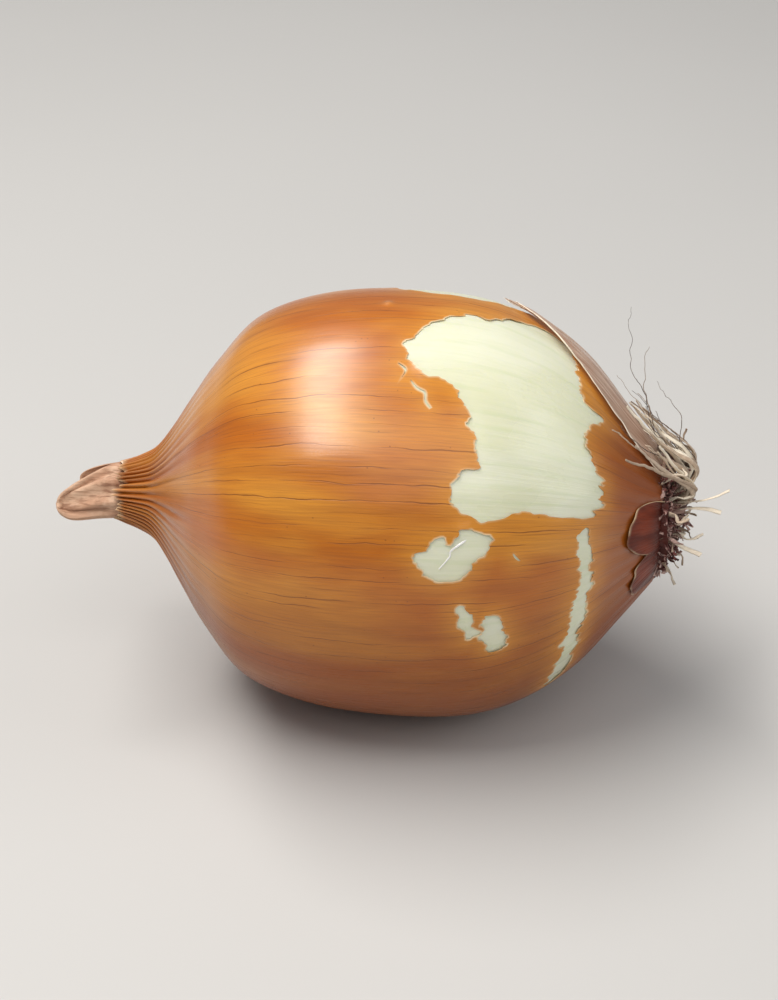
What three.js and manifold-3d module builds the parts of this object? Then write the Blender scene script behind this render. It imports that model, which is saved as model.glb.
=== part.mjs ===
// A yellow storage onion lying on its side: a pale fleshy bulb in a torn papery skin,
// with a dried neck at one end and a tuft of dry roots at the other.
// Millimetres, +Z up. The neck points to -X, the roots to +X, and the torn side looks up
// and to the front, which is -Y. The origin is the middle of the flat resting spot.
import * as THREE from "three";
import { mergeVertices } from "three/addons/utils/BufferGeometryUtils.js";
import Module from "manifold-3d";

const wasm = await Module();
wasm.setup();

// Driving dimensions
const BULB_DIAMETER = 66;
const BULB_LENGTH = 78;
const SKIN_WALL = 0.6;
const BLADE_WALL = 0.6;
const GAP = 0.3;
const FLAT_DEPTH = 0.7;
const NECK_REACH = 54;
const ROOT_REACH = 50;

// Values that follow from them
const BULB_RADIUS = BULB_DIAMETER / 2;
const AXIS_HEIGHT = BULB_RADIUS - FLAT_DEPTH;

// How finely the round surfaces are stepped, and how near two corners are to be one
const AROUND_STEPS = 64;
const FLESH_AROUND_STEPS = 32;
const ALONG_STEPS = 22;
const MERGE_DISTANCE = 1e-4;

// Bulb outline from the collar's lip to the root opening:
// share of the length from the equator, share of the radius
const BULB_OUTLINE = [
  [-0.56, 0.16],
  [-0.526, 0.172],
  [-0.494, 0.215],
  [-0.462, 0.315],
  [-0.423, 0.465],
  [-0.37, 0.655],
  [-0.29, 0.86],
  [-0.16, 0.97],
  [0, 1],
  [0.145, 0.972],
  [0.256, 0.876],
  [0.353, 0.712],
  [0.436, 0.485],
  [0.492, 0.32],
];

// The skin gathers into pleats at the neck, which run out over the bulb as low ribs.
const PLEATS = 16;
const RIB_HEIGHT = 0.12;
const PLEAT_HEIGHT = 0.5;
const PLEAT_START = -22;
const PLEAT_END = -40;

// Angles round the bulb are in degrees from its top towards the front.
// Tears, film and scale are drawn in degrees up from the middle of the torn side.
const TORN_SIDE = 60;
const DEGREES = Math.PI / 180;

// Torn windows in the dry skin: [millimetres along the axis, degrees up]
const TEARS = [
  // the large window, with a lobe towards the neck above and another below
  [
    [1, 43], [5, 53], [10, 59], [13, 58], [17, 64], [21, 68], [25, 66],
    [27, 42], [30, 40], [27.5, 26], [30, 12], [29, -2],
    [19, -1], [13.5, -4], [9, 1], [10, 8], [12.5, 11], [11, 22], [9, 30], [6.5, 33], [4, 34],
  ],
  // the small window below it
  [[4, -14], [6, -10], [7.5, -8], [9, -10], [10.5, -6], [15, -8], [13, -14], [11, -19], [7, -19.5]],
  // two chips lower still
  [[9.8, -27], [11.8, -28.5], [13.2, -35], [11.5, -37]],
  [[14.2, -30], [16.6, -33], [17.3, -40], [15.5, -43], [13.9, -38]],
  // the narrow split that runs round the foot of the bulb
  [
    [27.2, -8], [29, -8], [29.2, -24], [28.8, -42], [27.4, -58], [25.5, -74],
    [22.5, -80], [24.6, -62], [26.4, -42], [27.4, -24],
  ],
  // the bare strip over the top
  [[-2, 79], [5, 72], [15, 74], [20, 80], [26, 88], [25, 104], [15, 112], [4, 106], [-4, 92]],
];
const TEAR_INNER_SHARE = 0.5;
const TEAR_OUTER_SHARE = 1.5;

// A papery film that has come loose over the top, and a dark scale folded against the roots:
// where each starts and ends along the axis, its lower and upper edge at both ends,
// how far each end stands off the skin, and its steps along and across
const FILM = { along: [16, 36.5], low: [71, 44], high: [97, 88], lift: [0.7, 0.35], steps: [10, 8] };
const FOOT_SCALE = { along: [33.8, 39.6], low: [-34, -30], high: [14, 10], lift: [1, 0.35], steps: [4, 8] };
const SCALE_ROUNDING = 0.35;

// Dried neck: its radius along its length, how it pleats and flattens once it is free
// of the collar, and how far its tip droops and turns to the torn side
const NECK_FOOT = -39.2;
const NECK_OUTLINE = [
  [0, 3.6],
  [0.28, 3.65],
  [0.38, 4],
  [0.5, 3.8],
  [0.8, 2.8],
  [0.93, 1.8],
  [0.985, 0.9],
];
const NECK_AROUND = 30;
const NECK_ALONG = 14;
const NECK_PLEATS = 6;
const NECK_PLEAT_SHARE = 0.07;
const NECK_FLATTENING = 0.5;
const NECK_DROOP = 3;
const NECK_TURN = 2;
const NECK_FREE_FROM = 0.35;

// Basal plate at the root opening
const PLATE_FOOT = 37.9;
const PLATE_RADIUS = 8.6;
const PLATE_DOME = 4;
const PLATE_SIDES = 24;
const PLATE_RINGS = 5;

// A root's own size, how deep it is sunk in the plate and how far it keeps off the skin
const ROOT_RADIUS = 0.55;
const ROOT_TIP_RADIUS = 0.3;
const ROOT_SIDES = 3;
const ROOT_STEPS = 5;
const ROOT_SUNK = 1.6;
const ROOT_CLEARANCE = 2.7;
const ROOT_SEED = 7;

// The tangle of short roots: the share of the plate they cover, how far the outer ones lean,
// their length, and how much they curl at random and back towards the bulb
const TANGLED_ROOTS = 46;
const TANGLE_SPREAD = 0.75;
const TANGLE_LEAN = 65;
const TANGLE_LENGTH = [5, 12];
const TANGLE_CURL = 1.5;
const TANGLE_CURL_BACK = 0.3;
const GOLDEN_ANGLE = Math.PI * (3 - Math.sqrt(5));

// The bundle of long roots swept up and back over the bulb's shoulder: where its middle lies,
// how wide it fans out, where the roots leave the plate and clear its rim, and how far they reach
const SWEPT_ROOTS = 9;
const SWEPT_MIDDLE = 62;
const SWEPT_FAN = 70;
const SWEPT_START = 0.55;
const SWEPT_OVER = [1.15, 1.4];
const SWEPT_OVER_HEIGHT = 4.8;
const SWEPT_BACK = [6, 9.4];
const SWEPT_LIFT = [1, 2];
const SWEPT_STRAY = 14;

// Colours and finishes
const FLESH_FINISH = { color: 0xd9dfbd, roughness: 0.3, metalness: 0 };
const SKIN_FINISH = { color: 0xc07a35, roughness: 0.35, metalness: 0 };
const FILM_FINISH = { color: 0xc9a184, roughness: 0.45, metalness: 0 };
const SCALE_FINISH = { color: 0x5c2416, roughness: 0.35, metalness: 0 };
const NECK_FINISH = { color: 0xb58263, roughness: 0.75, metalness: 0 };
const ROOT_FINISH = { color: 0x9c8670, roughness: 0.9, metalness: 0 };

const { lerp, mapLinear, smoothstep } = THREE.MathUtils;

// Repeatable random numbers from 0 to 1
function randomFrom(seed) {
  let state = seed;
  return () => {
    state = (state + 0x6d2b79f5) | 0;
    let mixed = Math.imul(state ^ (state >>> 15), 1 | state);
    mixed = (mixed + Math.imul(mixed ^ (mixed >>> 7), 61 | mixed)) ^ mixed;
    return ((mixed ^ (mixed >>> 14)) >>> 0) / 4294967296;
  };
}

// Solids for joining and cutting, and their geometries
function solidOf(geometry) {
  const bare = geometry.clone();
  bare.deleteAttribute("normal");
  bare.deleteAttribute("uv");
  const merged = mergeVertices(bare, MERGE_DISTANCE);
  const vertProperties = merged.attributes.position.array;
  const triVerts = new Uint32Array(merged.index.array);
  return new wasm.Manifold(new wasm.Mesh({ numProp: 3, vertProperties, triVerts }));
}

function geometryOf(solid) {
  const { vertProperties, triVerts } = solid.getMesh();
  const geometry = new THREE.BufferGeometry();
  geometry.setAttribute("position", new THREE.BufferAttribute(vertProperties, 3));
  geometry.setIndex(new THREE.BufferAttribute(triVerts, 1));
  geometry.computeVertexNormals();
  return geometry;
}

function movePoints(geometry, rule) {
  const points = geometry.attributes.position;
  const point = new THREE.Vector3();
  for (let i = 0; i < points.count; i += 1) {
    point.fromBufferAttribute(points, i);
    rule(point);
    points.setXYZ(i, point.x, point.y, point.z);
  }
  return geometry;
}

// The bulb's outline as a curve, its radius at a place along the axis, and the outline moved inwards
const outline = new THREE.SplineCurve(
  BULB_OUTLINE.map(([along, radius]) => new THREE.Vector2(radius * BULB_RADIUS, along * BULB_LENGTH)),
);
const outlinePoints = outline.getSpacedPoints(ALONG_STEPS);

function radiusOn(points, along) {
  const next = points.findIndex((point) => point.y > along);
  if (next === 0) return points[0].x;
  if (next < 0) return points[points.length - 1].x;
  const from = points[next - 1];
  const to = points[next];
  return mapLinear(along, from.y, to.y, from.x, to.x);
}

function bulbRadius(along) {
  return radiusOn(outlinePoints, along);
}

function insetOutline(depth) {
  return outlinePoints.map((point, i) => {
    const tangent = outline.getTangentAt(i / ALONG_STEPS);
    return new THREE.Vector2(point.x - tangent.y * depth, point.y + tangent.x * depth);
  });
}

// Pleats grow from low ribs on the bulb to full folds at the collar.
function pleatHeight(along) {
  return lerp(RIB_HEIGHT, PLEAT_HEIGHT, smoothstep(-along, -PLEAT_START, -PLEAT_END));
}

// A point from its place along the axis, its angle from the top towards the front and its radius
function polarPoint(along, angle, radius, point = new THREE.Vector3()) {
  return point.set(along, -Math.sin(angle) * radius, AXIS_HEIGHT + Math.cos(angle) * radius);
}

// The way straight out from the axis at an angle
function outward(angle) {
  return new THREE.Vector3(0, -Math.sin(angle), Math.cos(angle));
}

// Lays a turned shape along the axis, pleats it and rests it on the flat spot.
function layDown(geometry, pleated, restHeight) {
  geometry.rotateZ(-Math.PI / 2);
  return movePoints(geometry, (point) => {
    const radius = Math.hypot(point.y, point.z);
    const angle = Math.atan2(-point.y, point.z);
    const fold = pleated ? pleatHeight(point.x) * Math.cos(PLEATS * angle) : 0;
    polarPoint(point.x, angle, radius + fold, point);
    point.z = Math.max(point.z, restHeight);
  });
}

// Pale flesh: the whole bulb under the skin, closed on the axis at both ends
function fleshGeometry() {
  const depth = SKIN_WALL + GAP;
  const neckEnd = NECK_FOOT + GAP;
  const rootEnd = PLATE_FOOT - GAP;
  const wall = insetOutline(depth).map((point) => new THREE.Vector2(point.x - pleatHeight(point.y), point.y));
  const side = wall.filter((point) => point.y > neckEnd + GAP && point.y < rootEnd - GAP);
  const rim = new THREE.Vector2(radiusOn(wall, rootEnd), rootEnd);
  const profile = [new THREE.Vector2(0, neckEnd), ...side, rim, new THREE.Vector2(0, rootEnd)];
  return layDown(new THREE.LatheGeometry(profile, FLESH_AROUND_STEPS), false, depth);
}

// A cutter that follows a tear's outline round the bulb
function tearSolid(tear) {
  const shape = new THREE.Shape(tear.map(([along, up]) => new THREE.Vector2(along, up)));
  const sheet = new THREE.ExtrudeGeometry(shape, { depth: 1, bevelEnabled: false, steps: 1 });
  movePoints(sheet, (point) => {
    const share = lerp(TEAR_INNER_SHARE, TEAR_OUTER_SHARE, point.z);
    polarPoint(point.x, (TORN_SIDE - point.y) * DEGREES, bulbRadius(point.x) * share, point);
  });
  return solidOf(sheet);
}

// Dry skin: a thin wall from the pleated collar to the root opening, with the torn windows cut through
function skinGeometry() {
  const outer = outlinePoints;
  const inner = insetOutline(SKIN_WALL).reverse();
  const wall = new THREE.LatheGeometry([...outer, ...inner, outer[0]], AROUND_STEPS);
  const points = layDown(wall, true, 0).attributes.position;
  const rows = outer.length + inner.length + 1;
  for (let i = 0; i < points.count; i += 1) {
    const isInner = i % rows >= outer.length && i % rows < rows - 1;
    if (isInner) points.setZ(i, Math.max(points.getZ(i), SKIN_WALL));
  }
  const torn = TEARS.reduce((skin, tear) => skin.subtract(tearSolid(tear)), solidOf(wall));
  const pieces = torn.decompose().sort((one, other) => other.volume() - one.volume());
  return geometryOf(pieces[0]);
}

// A closed thin blade over a grid: rule(u, v) gives a point of its underside and the way out of it.
function bladeGeometry([uSteps, vSteps], wall, rule) {
  const corners = [];
  const faces = [];
  const row = vSteps + 1;
  const layer = (uSteps + 1) * row;
  for (const level of [0, wall]) {
    for (let i = 0; i <= uSteps; i += 1) {
      for (let j = 0; j <= vSteps; j += 1) {
        const { point, out } = rule(i / uSteps, j / vSteps);
        corners.push(...point.addScaledVector(out, level).toArray());
      }
    }
  }
  const quad = (a, b, c, d) => faces.push(a, b, c, a, c, d);
  for (let i = 0; i < uSteps; i += 1) {
    for (let j = 0; j < vSteps; j += 1) {
      const [a, b, c, d] = [i * row + j, (i + 1) * row + j, (i + 1) * row + j + 1, i * row + j + 1];
      faces.push(a, c, b, a, d, c);
      quad(a + layer, b + layer, c + layer, d + layer);
    }
  }
  const rim = [];
  for (let i = 0; i < uSteps; i += 1) rim.push(i * row);
  for (let j = 0; j < vSteps; j += 1) rim.push(uSteps * row + j);
  for (let i = uSteps; i > 0; i -= 1) rim.push(i * row + vSteps);
  for (let j = vSteps; j > 0; j -= 1) rim.push(j);
  rim.forEach((from, i) => {
    const to = rim[(i + 1) % rim.length];
    quad(from, to, to + layer, from + layer);
  });
  const geometry = new THREE.BufferGeometry();
  geometry.setAttribute("position", new THREE.Float32BufferAttribute(corners, 3));
  geometry.setIndex(faces);
  return geometry;
}

// A scale of skin that lies over the bulb, clear of it, and lifts towards its free end
function scaleGeometry({ along, low, high, lift, steps }) {
  return bladeGeometry(steps, BLADE_WALL, (u, v) => {
    const place = lerp(along[0], along[1], u);
    const lower = lerp(low[0], low[1], u);
    const upper = lerp(high[0], high[1], u);
    const full = 1 - SCALE_ROUNDING * (2 * u - 1) ** 2;
    const up = (lower + upper) / 2 + ((2 * v - 1) * full * (upper - lower)) / 2;
    const angle = (TORN_SIDE - up) * DEGREES;
    const stand = GAP + pleatHeight(place) + lerp(lift[0], lift[1], u);
    return { point: polarPoint(place, angle, bulbRadius(place) + stand), out: outward(angle) };
  });
}

// Dried neck: a turned shape that is pleated, flattened into a leaf that faces as the torn side does,
// and droops towards its tip
function neckGeometry() {
  const facing = outward(TORN_SIDE * DEGREES);
  const upright = outward(TORN_SIDE * DEGREES - Math.PI / 2);
  const length = NECK_REACH + NECK_FOOT;
  const corners = NECK_OUTLINE.map(([share, radius]) => new THREE.Vector2(radius, share * length));
  const side = new THREE.SplineCurve(corners).getSpacedPoints(NECK_ALONG);
  const profile = [new THREE.Vector2(0, 0), ...side, new THREE.Vector2(0, length)];
  return movePoints(new THREE.LatheGeometry(profile, NECK_AROUND), (point) => {
    const free = smoothstep(point.y / length, NECK_FREE_FROM, 1);
    const angle = Math.atan2(point.x, point.z);
    const pleat = 1 + NECK_PLEAT_SHARE * free * Math.cos(NECK_PLEATS * angle);
    const depth = NECK_TURN * free - point.x * pleat * (1 - NECK_FLATTENING * free);
    const height = point.z * pleat - NECK_DROOP * free;
    point.set(NECK_FOOT - point.y, 0, AXIS_HEIGHT);
    point.addScaledVector(facing, depth).addScaledVector(upright, height);
  });
}

// A tapering root along a curve
function rootSolid(path) {
  const rod = new THREE.CylinderGeometry(ROOT_TIP_RADIUS, ROOT_RADIUS, 1, ROOT_SIDES, ROOT_STEPS);
  const frames = path.computeFrenetFrames(ROOT_STEPS);
  movePoints(rod, (point) => {
    const share = point.y + 0.5;
    const step = Math.round(share * ROOT_STEPS);
    const [across, depth] = [point.x, -point.z];
    path.getPointAt(share, point);
    point.addScaledVector(frames.normals[step], across);
    point.addScaledVector(frames.binormals[step], depth);
  });
  return solidOf(rod);
}

// How far along the axis the plate's dome reaches at a distance from it
function plateSurface(radius) {
  return PLATE_FOOT + PLATE_DOME * Math.sqrt(1 - (radius / PLATE_RADIUS) ** 2);
}

// Keeps a root's point off the skin behind the root opening.
function clearOfSkin(point) {
  if (point.x > PLATE_FOOT + PLATE_DOME) return point;
  const angle = Math.atan2(-point.y, point.z - AXIS_HEIGHT);
  const radius = Math.hypot(point.y, point.z - AXIS_HEIGHT);
  const least = bulbRadius(point.x) + ROOT_CLEARANCE;
  return polarPoint(point.x, angle, Math.max(radius, least), point);
}

// One root of the tangle: it starts in the plate, leaves it outwards and curls at random.
function tangledPath(index, random) {
  const share = Math.sqrt((index + 0.5) / TANGLED_ROOTS);
  const angle = index * GOLDEN_ANGLE;
  const radius = share * PLATE_RADIUS * TANGLE_SPREAD;
  const lean = share * TANGLE_LEAN * DEGREES;
  const furthest = ROOT_REACH - ROOT_RADIUS;
  const half = lerp(TANGLE_LENGTH[0], TANGLE_LENGTH[1], random() * random()) / 2;
  const start = polarPoint(plateSurface(radius) - ROOT_SUNK, angle, radius);
  const away = outward(angle).multiplyScalar(Math.sin(lean)).setX(Math.cos(lean));
  const bend = start.clone().addScaledVector(away, ROOT_SUNK + half);
  bend.x = THREE.MathUtils.clamp(bend.x, PLATE_FOOT + PLATE_DOME, furthest);
  const curl = new THREE.Vector3(random() - 0.5, random() - 0.5, random() - 0.5);
  away.addScaledVector(curl, TANGLE_CURL);
  away.x -= TANGLE_CURL_BACK;
  const tip = bend.clone().addScaledVector(away.normalize(), half);
  tip.x = Math.min(tip.x, furthest);
  return new THREE.QuadraticBezierCurve3(start, bend, clearOfSkin(tip));
}

// One root of the bundle that is swept up and back over the bulb's shoulder
function sweptPath(index, random) {
  const spread = index / (SWEPT_ROOTS - 1) - 0.5;
  const angle = (TORN_SIDE - SWEPT_MIDDLE - SWEPT_FAN * spread) * DEGREES;
  const turn = angle + (random() - 0.5) * SWEPT_STRAY * DEGREES;
  const radius = PLATE_RADIUS * SWEPT_START;
  const start = polarPoint(plateSurface(radius) - ROOT_SUNK, angle, radius);
  const overRadius = PLATE_RADIUS * lerp(SWEPT_OVER[0], SWEPT_OVER[1], random());
  const over = polarPoint(PLATE_FOOT + SWEPT_OVER_HEIGHT, angle, overRadius);
  const back = over.x - lerp(SWEPT_BACK[0], SWEPT_BACK[1], random());
  const lift = ROOT_CLEARANCE + lerp(SWEPT_LIFT[0], SWEPT_LIFT[1], random());
  const tip = polarPoint(back, turn, bulbRadius(back) + lift);
  const middle = over.clone().lerp(tip, 0.5);
  return new THREE.CatmullRomCurve3([start, over, clearOfSkin(middle), tip]);
}

// Basal plate with the roots fused into it
function rootTuftGeometry() {
  const dome = new THREE.EllipseCurve(0, PLATE_FOOT, PLATE_RADIUS, PLATE_DOME, 0, Math.PI / 2);
  const side = dome.getPoints(PLATE_RINGS);
  side[PLATE_RINGS].x = 0;
  const plate = new THREE.LatheGeometry([new THREE.Vector2(0, PLATE_FOOT), ...side], PLATE_SIDES);
  const random = randomFrom(ROOT_SEED);
  let tuft = solidOf(layDown(plate, false, 0));
  for (let i = 0; i < TANGLED_ROOTS; i += 1) tuft = tuft.add(rootSolid(tangledPath(i, random)));
  for (let i = 0; i < SWEPT_ROOTS; i += 1) tuft = tuft.add(rootSolid(sweptPath(i, random)));
  return geometryOf(tuft);
}

function piece(name, geometry, finish) {
  const mesh = new THREE.Mesh(geometry, new THREE.MeshStandardMaterial(finish));
  mesh.name = name;
  return mesh;
}

const onion = new THREE.Group();
onion.name = "onion";
onion.add(
  piece("flesh_bulb", fleshGeometry(), FLESH_FINISH),
  piece("dry_skin", skinGeometry(), SKIN_FINISH),
  piece("loose_film", scaleGeometry(FILM), FILM_FINISH),
  piece("foot_scale", scaleGeometry(FOOT_SCALE), SCALE_FINISH),
  piece("dried_neck", neckGeometry(), NECK_FINISH),
  piece("root_tuft", rootTuftGeometry(), ROOT_FINISH),
);

export default onion;
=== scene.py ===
# %% [markdown]
# # A yellow onion, lying on its side
# The onion's plain solids are loaded first and stay where they are. Each piece below is modelled over
# one of them, in metres and in the same place, and takes its part in the picture. The order is the
# shared rules of the bulb, the finishes, then the pieces, mostly from the inside out, and last the studio.

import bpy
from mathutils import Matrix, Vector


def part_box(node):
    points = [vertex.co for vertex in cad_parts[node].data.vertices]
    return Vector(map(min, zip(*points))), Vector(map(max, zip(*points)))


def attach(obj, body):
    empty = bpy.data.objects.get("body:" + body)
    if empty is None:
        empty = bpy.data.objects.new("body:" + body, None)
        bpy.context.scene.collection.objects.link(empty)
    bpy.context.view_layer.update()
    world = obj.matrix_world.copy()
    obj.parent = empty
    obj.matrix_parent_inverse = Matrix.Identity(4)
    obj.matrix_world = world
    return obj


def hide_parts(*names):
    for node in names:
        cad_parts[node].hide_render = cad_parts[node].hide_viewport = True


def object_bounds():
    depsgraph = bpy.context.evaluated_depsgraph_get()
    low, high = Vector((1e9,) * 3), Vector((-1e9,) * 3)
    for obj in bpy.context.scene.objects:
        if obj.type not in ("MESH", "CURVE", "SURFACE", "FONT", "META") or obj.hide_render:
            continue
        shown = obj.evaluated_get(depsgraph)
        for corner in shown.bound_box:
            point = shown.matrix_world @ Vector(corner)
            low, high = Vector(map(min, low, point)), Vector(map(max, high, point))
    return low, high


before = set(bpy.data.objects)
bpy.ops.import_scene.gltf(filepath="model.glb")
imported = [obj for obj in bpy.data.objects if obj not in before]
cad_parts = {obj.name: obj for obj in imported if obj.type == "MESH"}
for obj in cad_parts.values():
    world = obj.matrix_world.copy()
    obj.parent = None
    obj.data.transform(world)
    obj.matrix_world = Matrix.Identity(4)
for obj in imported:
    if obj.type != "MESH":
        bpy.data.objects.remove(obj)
cad_low, cad_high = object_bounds()
print("solids loaded:", sorted(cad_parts))

# %% Tools and driving sizes
import math

import bmesh
import bpy
import numpy as np
from mathutils import Vector, kdtree, noise
from mathutils.geometry import delaunay_2d_cdt

MM = 0.001
# The solid skin's low ribs stand this far out of the bulb, and the root plate starts this far along.
RIB_HEIGHT = 0.12 * MM
PLATE_FOOT = 37.9 * MM

skin_low, skin_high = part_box("dry_skin")
BULB_RADIUS = (skin_high.y - skin_low.y) / 2 - RIB_HEIGHT
AXIS_HEIGHT = skin_high.z - BULB_RADIUS - RIB_HEIGHT
LIP = skin_low.x
NECK_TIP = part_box("dried_neck")[0].x
NECK_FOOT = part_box("dried_neck")[1].x
print("bulb radius", round(BULB_RADIUS / MM, 2), "axis height", round(AXIS_HEIGHT / MM, 2), "mm")

# %% [markdown]
# ## The bulb's own coordinates
# An onion is a turned shape, so a place on it is easiest to give as a distance along its axis, an angle
# round it and a radius. The outline is a smooth curve through a few points, and a little unevenness
# keeps the bulb from looking turned on a machine. Everything that lies on the bulb uses these rules.

# %% Outline and angles
# Share of the length from the equator, share of the radius
BULB_OUTLINE = [
    (-0.56, 0.16), (-0.526, 0.172), (-0.494, 0.215), (-0.462, 0.315), (-0.423, 0.465),
    (-0.37, 0.655), (-0.29, 0.86), (-0.16, 0.97), (0, 1), (0.145, 0.972),
    (0.256, 0.876), (0.353, 0.712), (0.436, 0.485), (0.492, 0.32), (0.504, 0.268),
]
BULB_LENGTH = LIP / BULB_OUTLINE[0][0]
# Degrees from the top of the bulb towards the front, to the middle of the torn side
TORN_SIDE = 60


def smooth_path(points, steps, closed=False):
    """A smooth path through given points, with a number of steps from each to the next."""
    points = np.asarray(points, float)
    ends = (points[-1:], points[:2]) if closed else (points[:1], points[-1:])
    padded = np.concatenate([ends[0], points, ends[1]])
    share = np.linspace(0, 1, steps, endpoint=False)[:, None]
    stretches = []
    for before, start, end, after in zip(padded, padded[1:], padded[2:], padded[3:]):
        third = 3 * (start - end) + after - before
        second = 2 * before - 5 * start + 4 * end - after
        stretches.append(start + share * (end - before + share * (second + share * third)) / 2)
    return np.concatenate(stretches if closed else [*stretches, points[-1:]])


outline = smooth_path(BULB_OUTLINE, 24) * (BULB_LENGTH, BULB_RADIUS)
ROOT_OPENING = outline[-1, 0]


def bulb_radius(along):
    return np.interp(along, outline[:, 0], outline[:, 1])


def up_from_torn_side(degrees):
    """The angle from the bulb's top towards the front, from degrees up from the torn side's middle."""
    return np.radians(TORN_SIDE - np.asarray(degrees, float))


def outward(angle):
    """The way straight out from the axis at an angle from the top towards the front."""
    angle = np.asarray(angle, float)
    return np.stack([np.zeros_like(angle), -np.sin(angle), np.cos(angle)], axis=-1)


def polar(along, angle, radius):
    """Points from their places along the axis, their angles and their radii."""
    along, angle, radius = np.broadcast_arrays(along, angle, radius)
    points = outward(angle) * radius[..., None]
    points[..., 0] += along
    points[..., 2] += AXIS_HEIGHT
    return points


def angle_and_radius(points):
    """The other way round: the angle and the radius of points."""
    front, height = -points[..., 1], points[..., 2] - AXIS_HEIGHT
    return np.arctan2(front, height), np.hypot(front, height)


print("collar lip at", round(LIP / MM, 1), "root opening at", round(ROOT_OPENING / MM, 1), "mm")

# %% Smooth steps, noise and unevenness
SWELL = 0.4 * MM
SEED_STEP = 17.3


def smoothstep(value, low, high):
    """Goes from 0 to 1 between two values, and eases in and out."""
    share = np.clip((value - low) / (high - low), 0, 1)
    return share * share * (3 - 2 * share)


def noise_at(points, scale, seed=0):
    """Smooth noise from -1 to 1 at each point."""
    flat = np.asarray(points, float).reshape(-1, 3) * scale + (0, 0, SEED_STEP * seed)
    values = np.array([noise.noise(Vector(point)) for point in flat])
    return values.reshape(np.shape(points)[:-1])


def round_the_axis(along, angle):
    """Where a point is round and along the bulb, as a vector that has no seam."""
    return np.stack([np.cos(angle), np.sin(angle), along / BULB_RADIUS], axis=-1)


def unevenness(along, angle):
    """How far the bulb swells or sinks from a true turned shape; none at its two ends."""
    turn = along / BULB_RADIUS
    broad = np.sin(2 * angle + 0.7 + 1.1 * turn)
    narrow = 0.6 * np.sin(3 * angle - 1.6 * turn + 1.9)
    return SWELL * (broad + narrow) * (bulb_radius(along) / BULB_RADIUS) ** 2


swells = unevenness(0, np.linspace(0, math.tau, 90)) / MM
print("the equator is uneven by", np.round([swells.min(), swells.max()], 2), "mm")

# %% [markdown]
# ## Small helpers for meshes
# A piece is made from arrays of points and faces, marked with numbers that its finish can read, and
# given a wall by Solidify. The modifiers' result is turned into a plain mesh at once, so that what is
# measured and rendered is the same mesh.

# %% Plain meshes and their marks


def piece_from(name, points, faces):
    mesh = bpy.data.meshes.new(name)
    mesh.from_pydata(np.asarray(points).reshape(-1, 3).tolist(), [], [list(face) for face in faces])
    piece = bpy.data.objects.new(name, mesh)
    bpy.context.scene.collection.objects.link(piece)
    return piece


def points_of(mesh):
    points = np.zeros(len(mesh.vertices) * 3, np.float32)
    mesh.vertices.foreach_get("co", points)
    return points.reshape(-1, 3).astype(float)


def move_points(mesh, points):
    mesh.vertices.foreach_set("co", points.astype(np.float32).ravel())


def mark(mesh, name, values):
    """Stores a number or a vector at each point of a mesh."""
    values = np.asarray(values, np.float32)
    is_vector = values.ndim > 1 and values.shape[-1] == 3
    kind, field = ("FLOAT_VECTOR", "vector") if is_vector else ("FLOAT", "value")
    attribute = mesh.attributes.get(name) or mesh.attributes.new(name, kind, "POINT")
    attribute.data.foreach_set(field, values.ravel())


def mark_round_the_axis(mesh):
    points = points_of(mesh)
    mark(mesh, "place", round_the_axis(points[:, 0], angle_and_radius(points)[0]))


def grid_faces(rows, columns, closed=False):
    """Quads over a grid of points, row after row; closed joins the last column to the first."""
    faces = []
    for row in range(rows - 1):
        for column in range(columns if closed else columns - 1):
            following = (column + 1) % columns
            corner, beside = row * columns + column, row * columns + following
            faces.append((corner, beside, beside + columns, corner + columns))
    return faces


print("a grid of 3 by 4 points has", len(grid_faces(3, 4)), "faces, or closed", len(grid_faces(3, 4, True)))

# %% Modifiers, walls and hand-over
SHARP_EDGE = math.radians(50)


def settled(piece):
    """Replaces a piece's mesh by what its modifiers make of it, and removes them."""
    depsgraph = bpy.context.evaluated_depsgraph_get()
    plain = bpy.data.meshes.new_from_object(piece.evaluated_get(depsgraph))
    piece.modifiers.clear()
    piece.data = plain
    return piece


def walled(piece, thickness):
    """Gives a sheet a wall on its inner side, and keeps the edge of that wall crisp."""
    wall = piece.modifiers.new("wall", "SOLIDIFY")
    wall.thickness = thickness
    wall.offset = -1
    settled(piece)
    piece.data.shade_smooth()
    piece.data.set_sharp_from_angle(angle=SHARP_EDGE)
    return piece


def outward_faces(piece):
    work = bmesh.new()
    work.from_mesh(piece.data)
    bmesh.ops.recalc_face_normals(work, faces=work.faces)
    work.to_mesh(piece.data)
    work.free()
    return piece


def finished(piece, node, material):
    """Gives a piece its finish, puts it under the onion's body and hides the solid it stands for."""
    piece.data.materials.clear()
    piece.data.materials.append(material)
    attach(piece, "root")
    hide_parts(node)
    print(piece.name, len(piece.data.polygons), "faces")


print("edges sharper than", round(math.degrees(SHARP_EDGE)), "degrees stay crisp")

# %% [markdown]
# ## Node trees, line by line
# Finishes and repeated pieces are node trees. Writing each node with its inputs in one line keeps a tree
# readable: an input that is given a socket is linked to it, and any other value is set on it. Colours are
# laid over one another like coats of paint, each with a mask that says where it shows.

# %% A short way to write nodes


def named(word):
    """A socket's name, from the word that stands for it here: coat_weight is Coat Weight."""
    return word.replace("_", " ").title().replace("Ior", "IOR")


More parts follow.
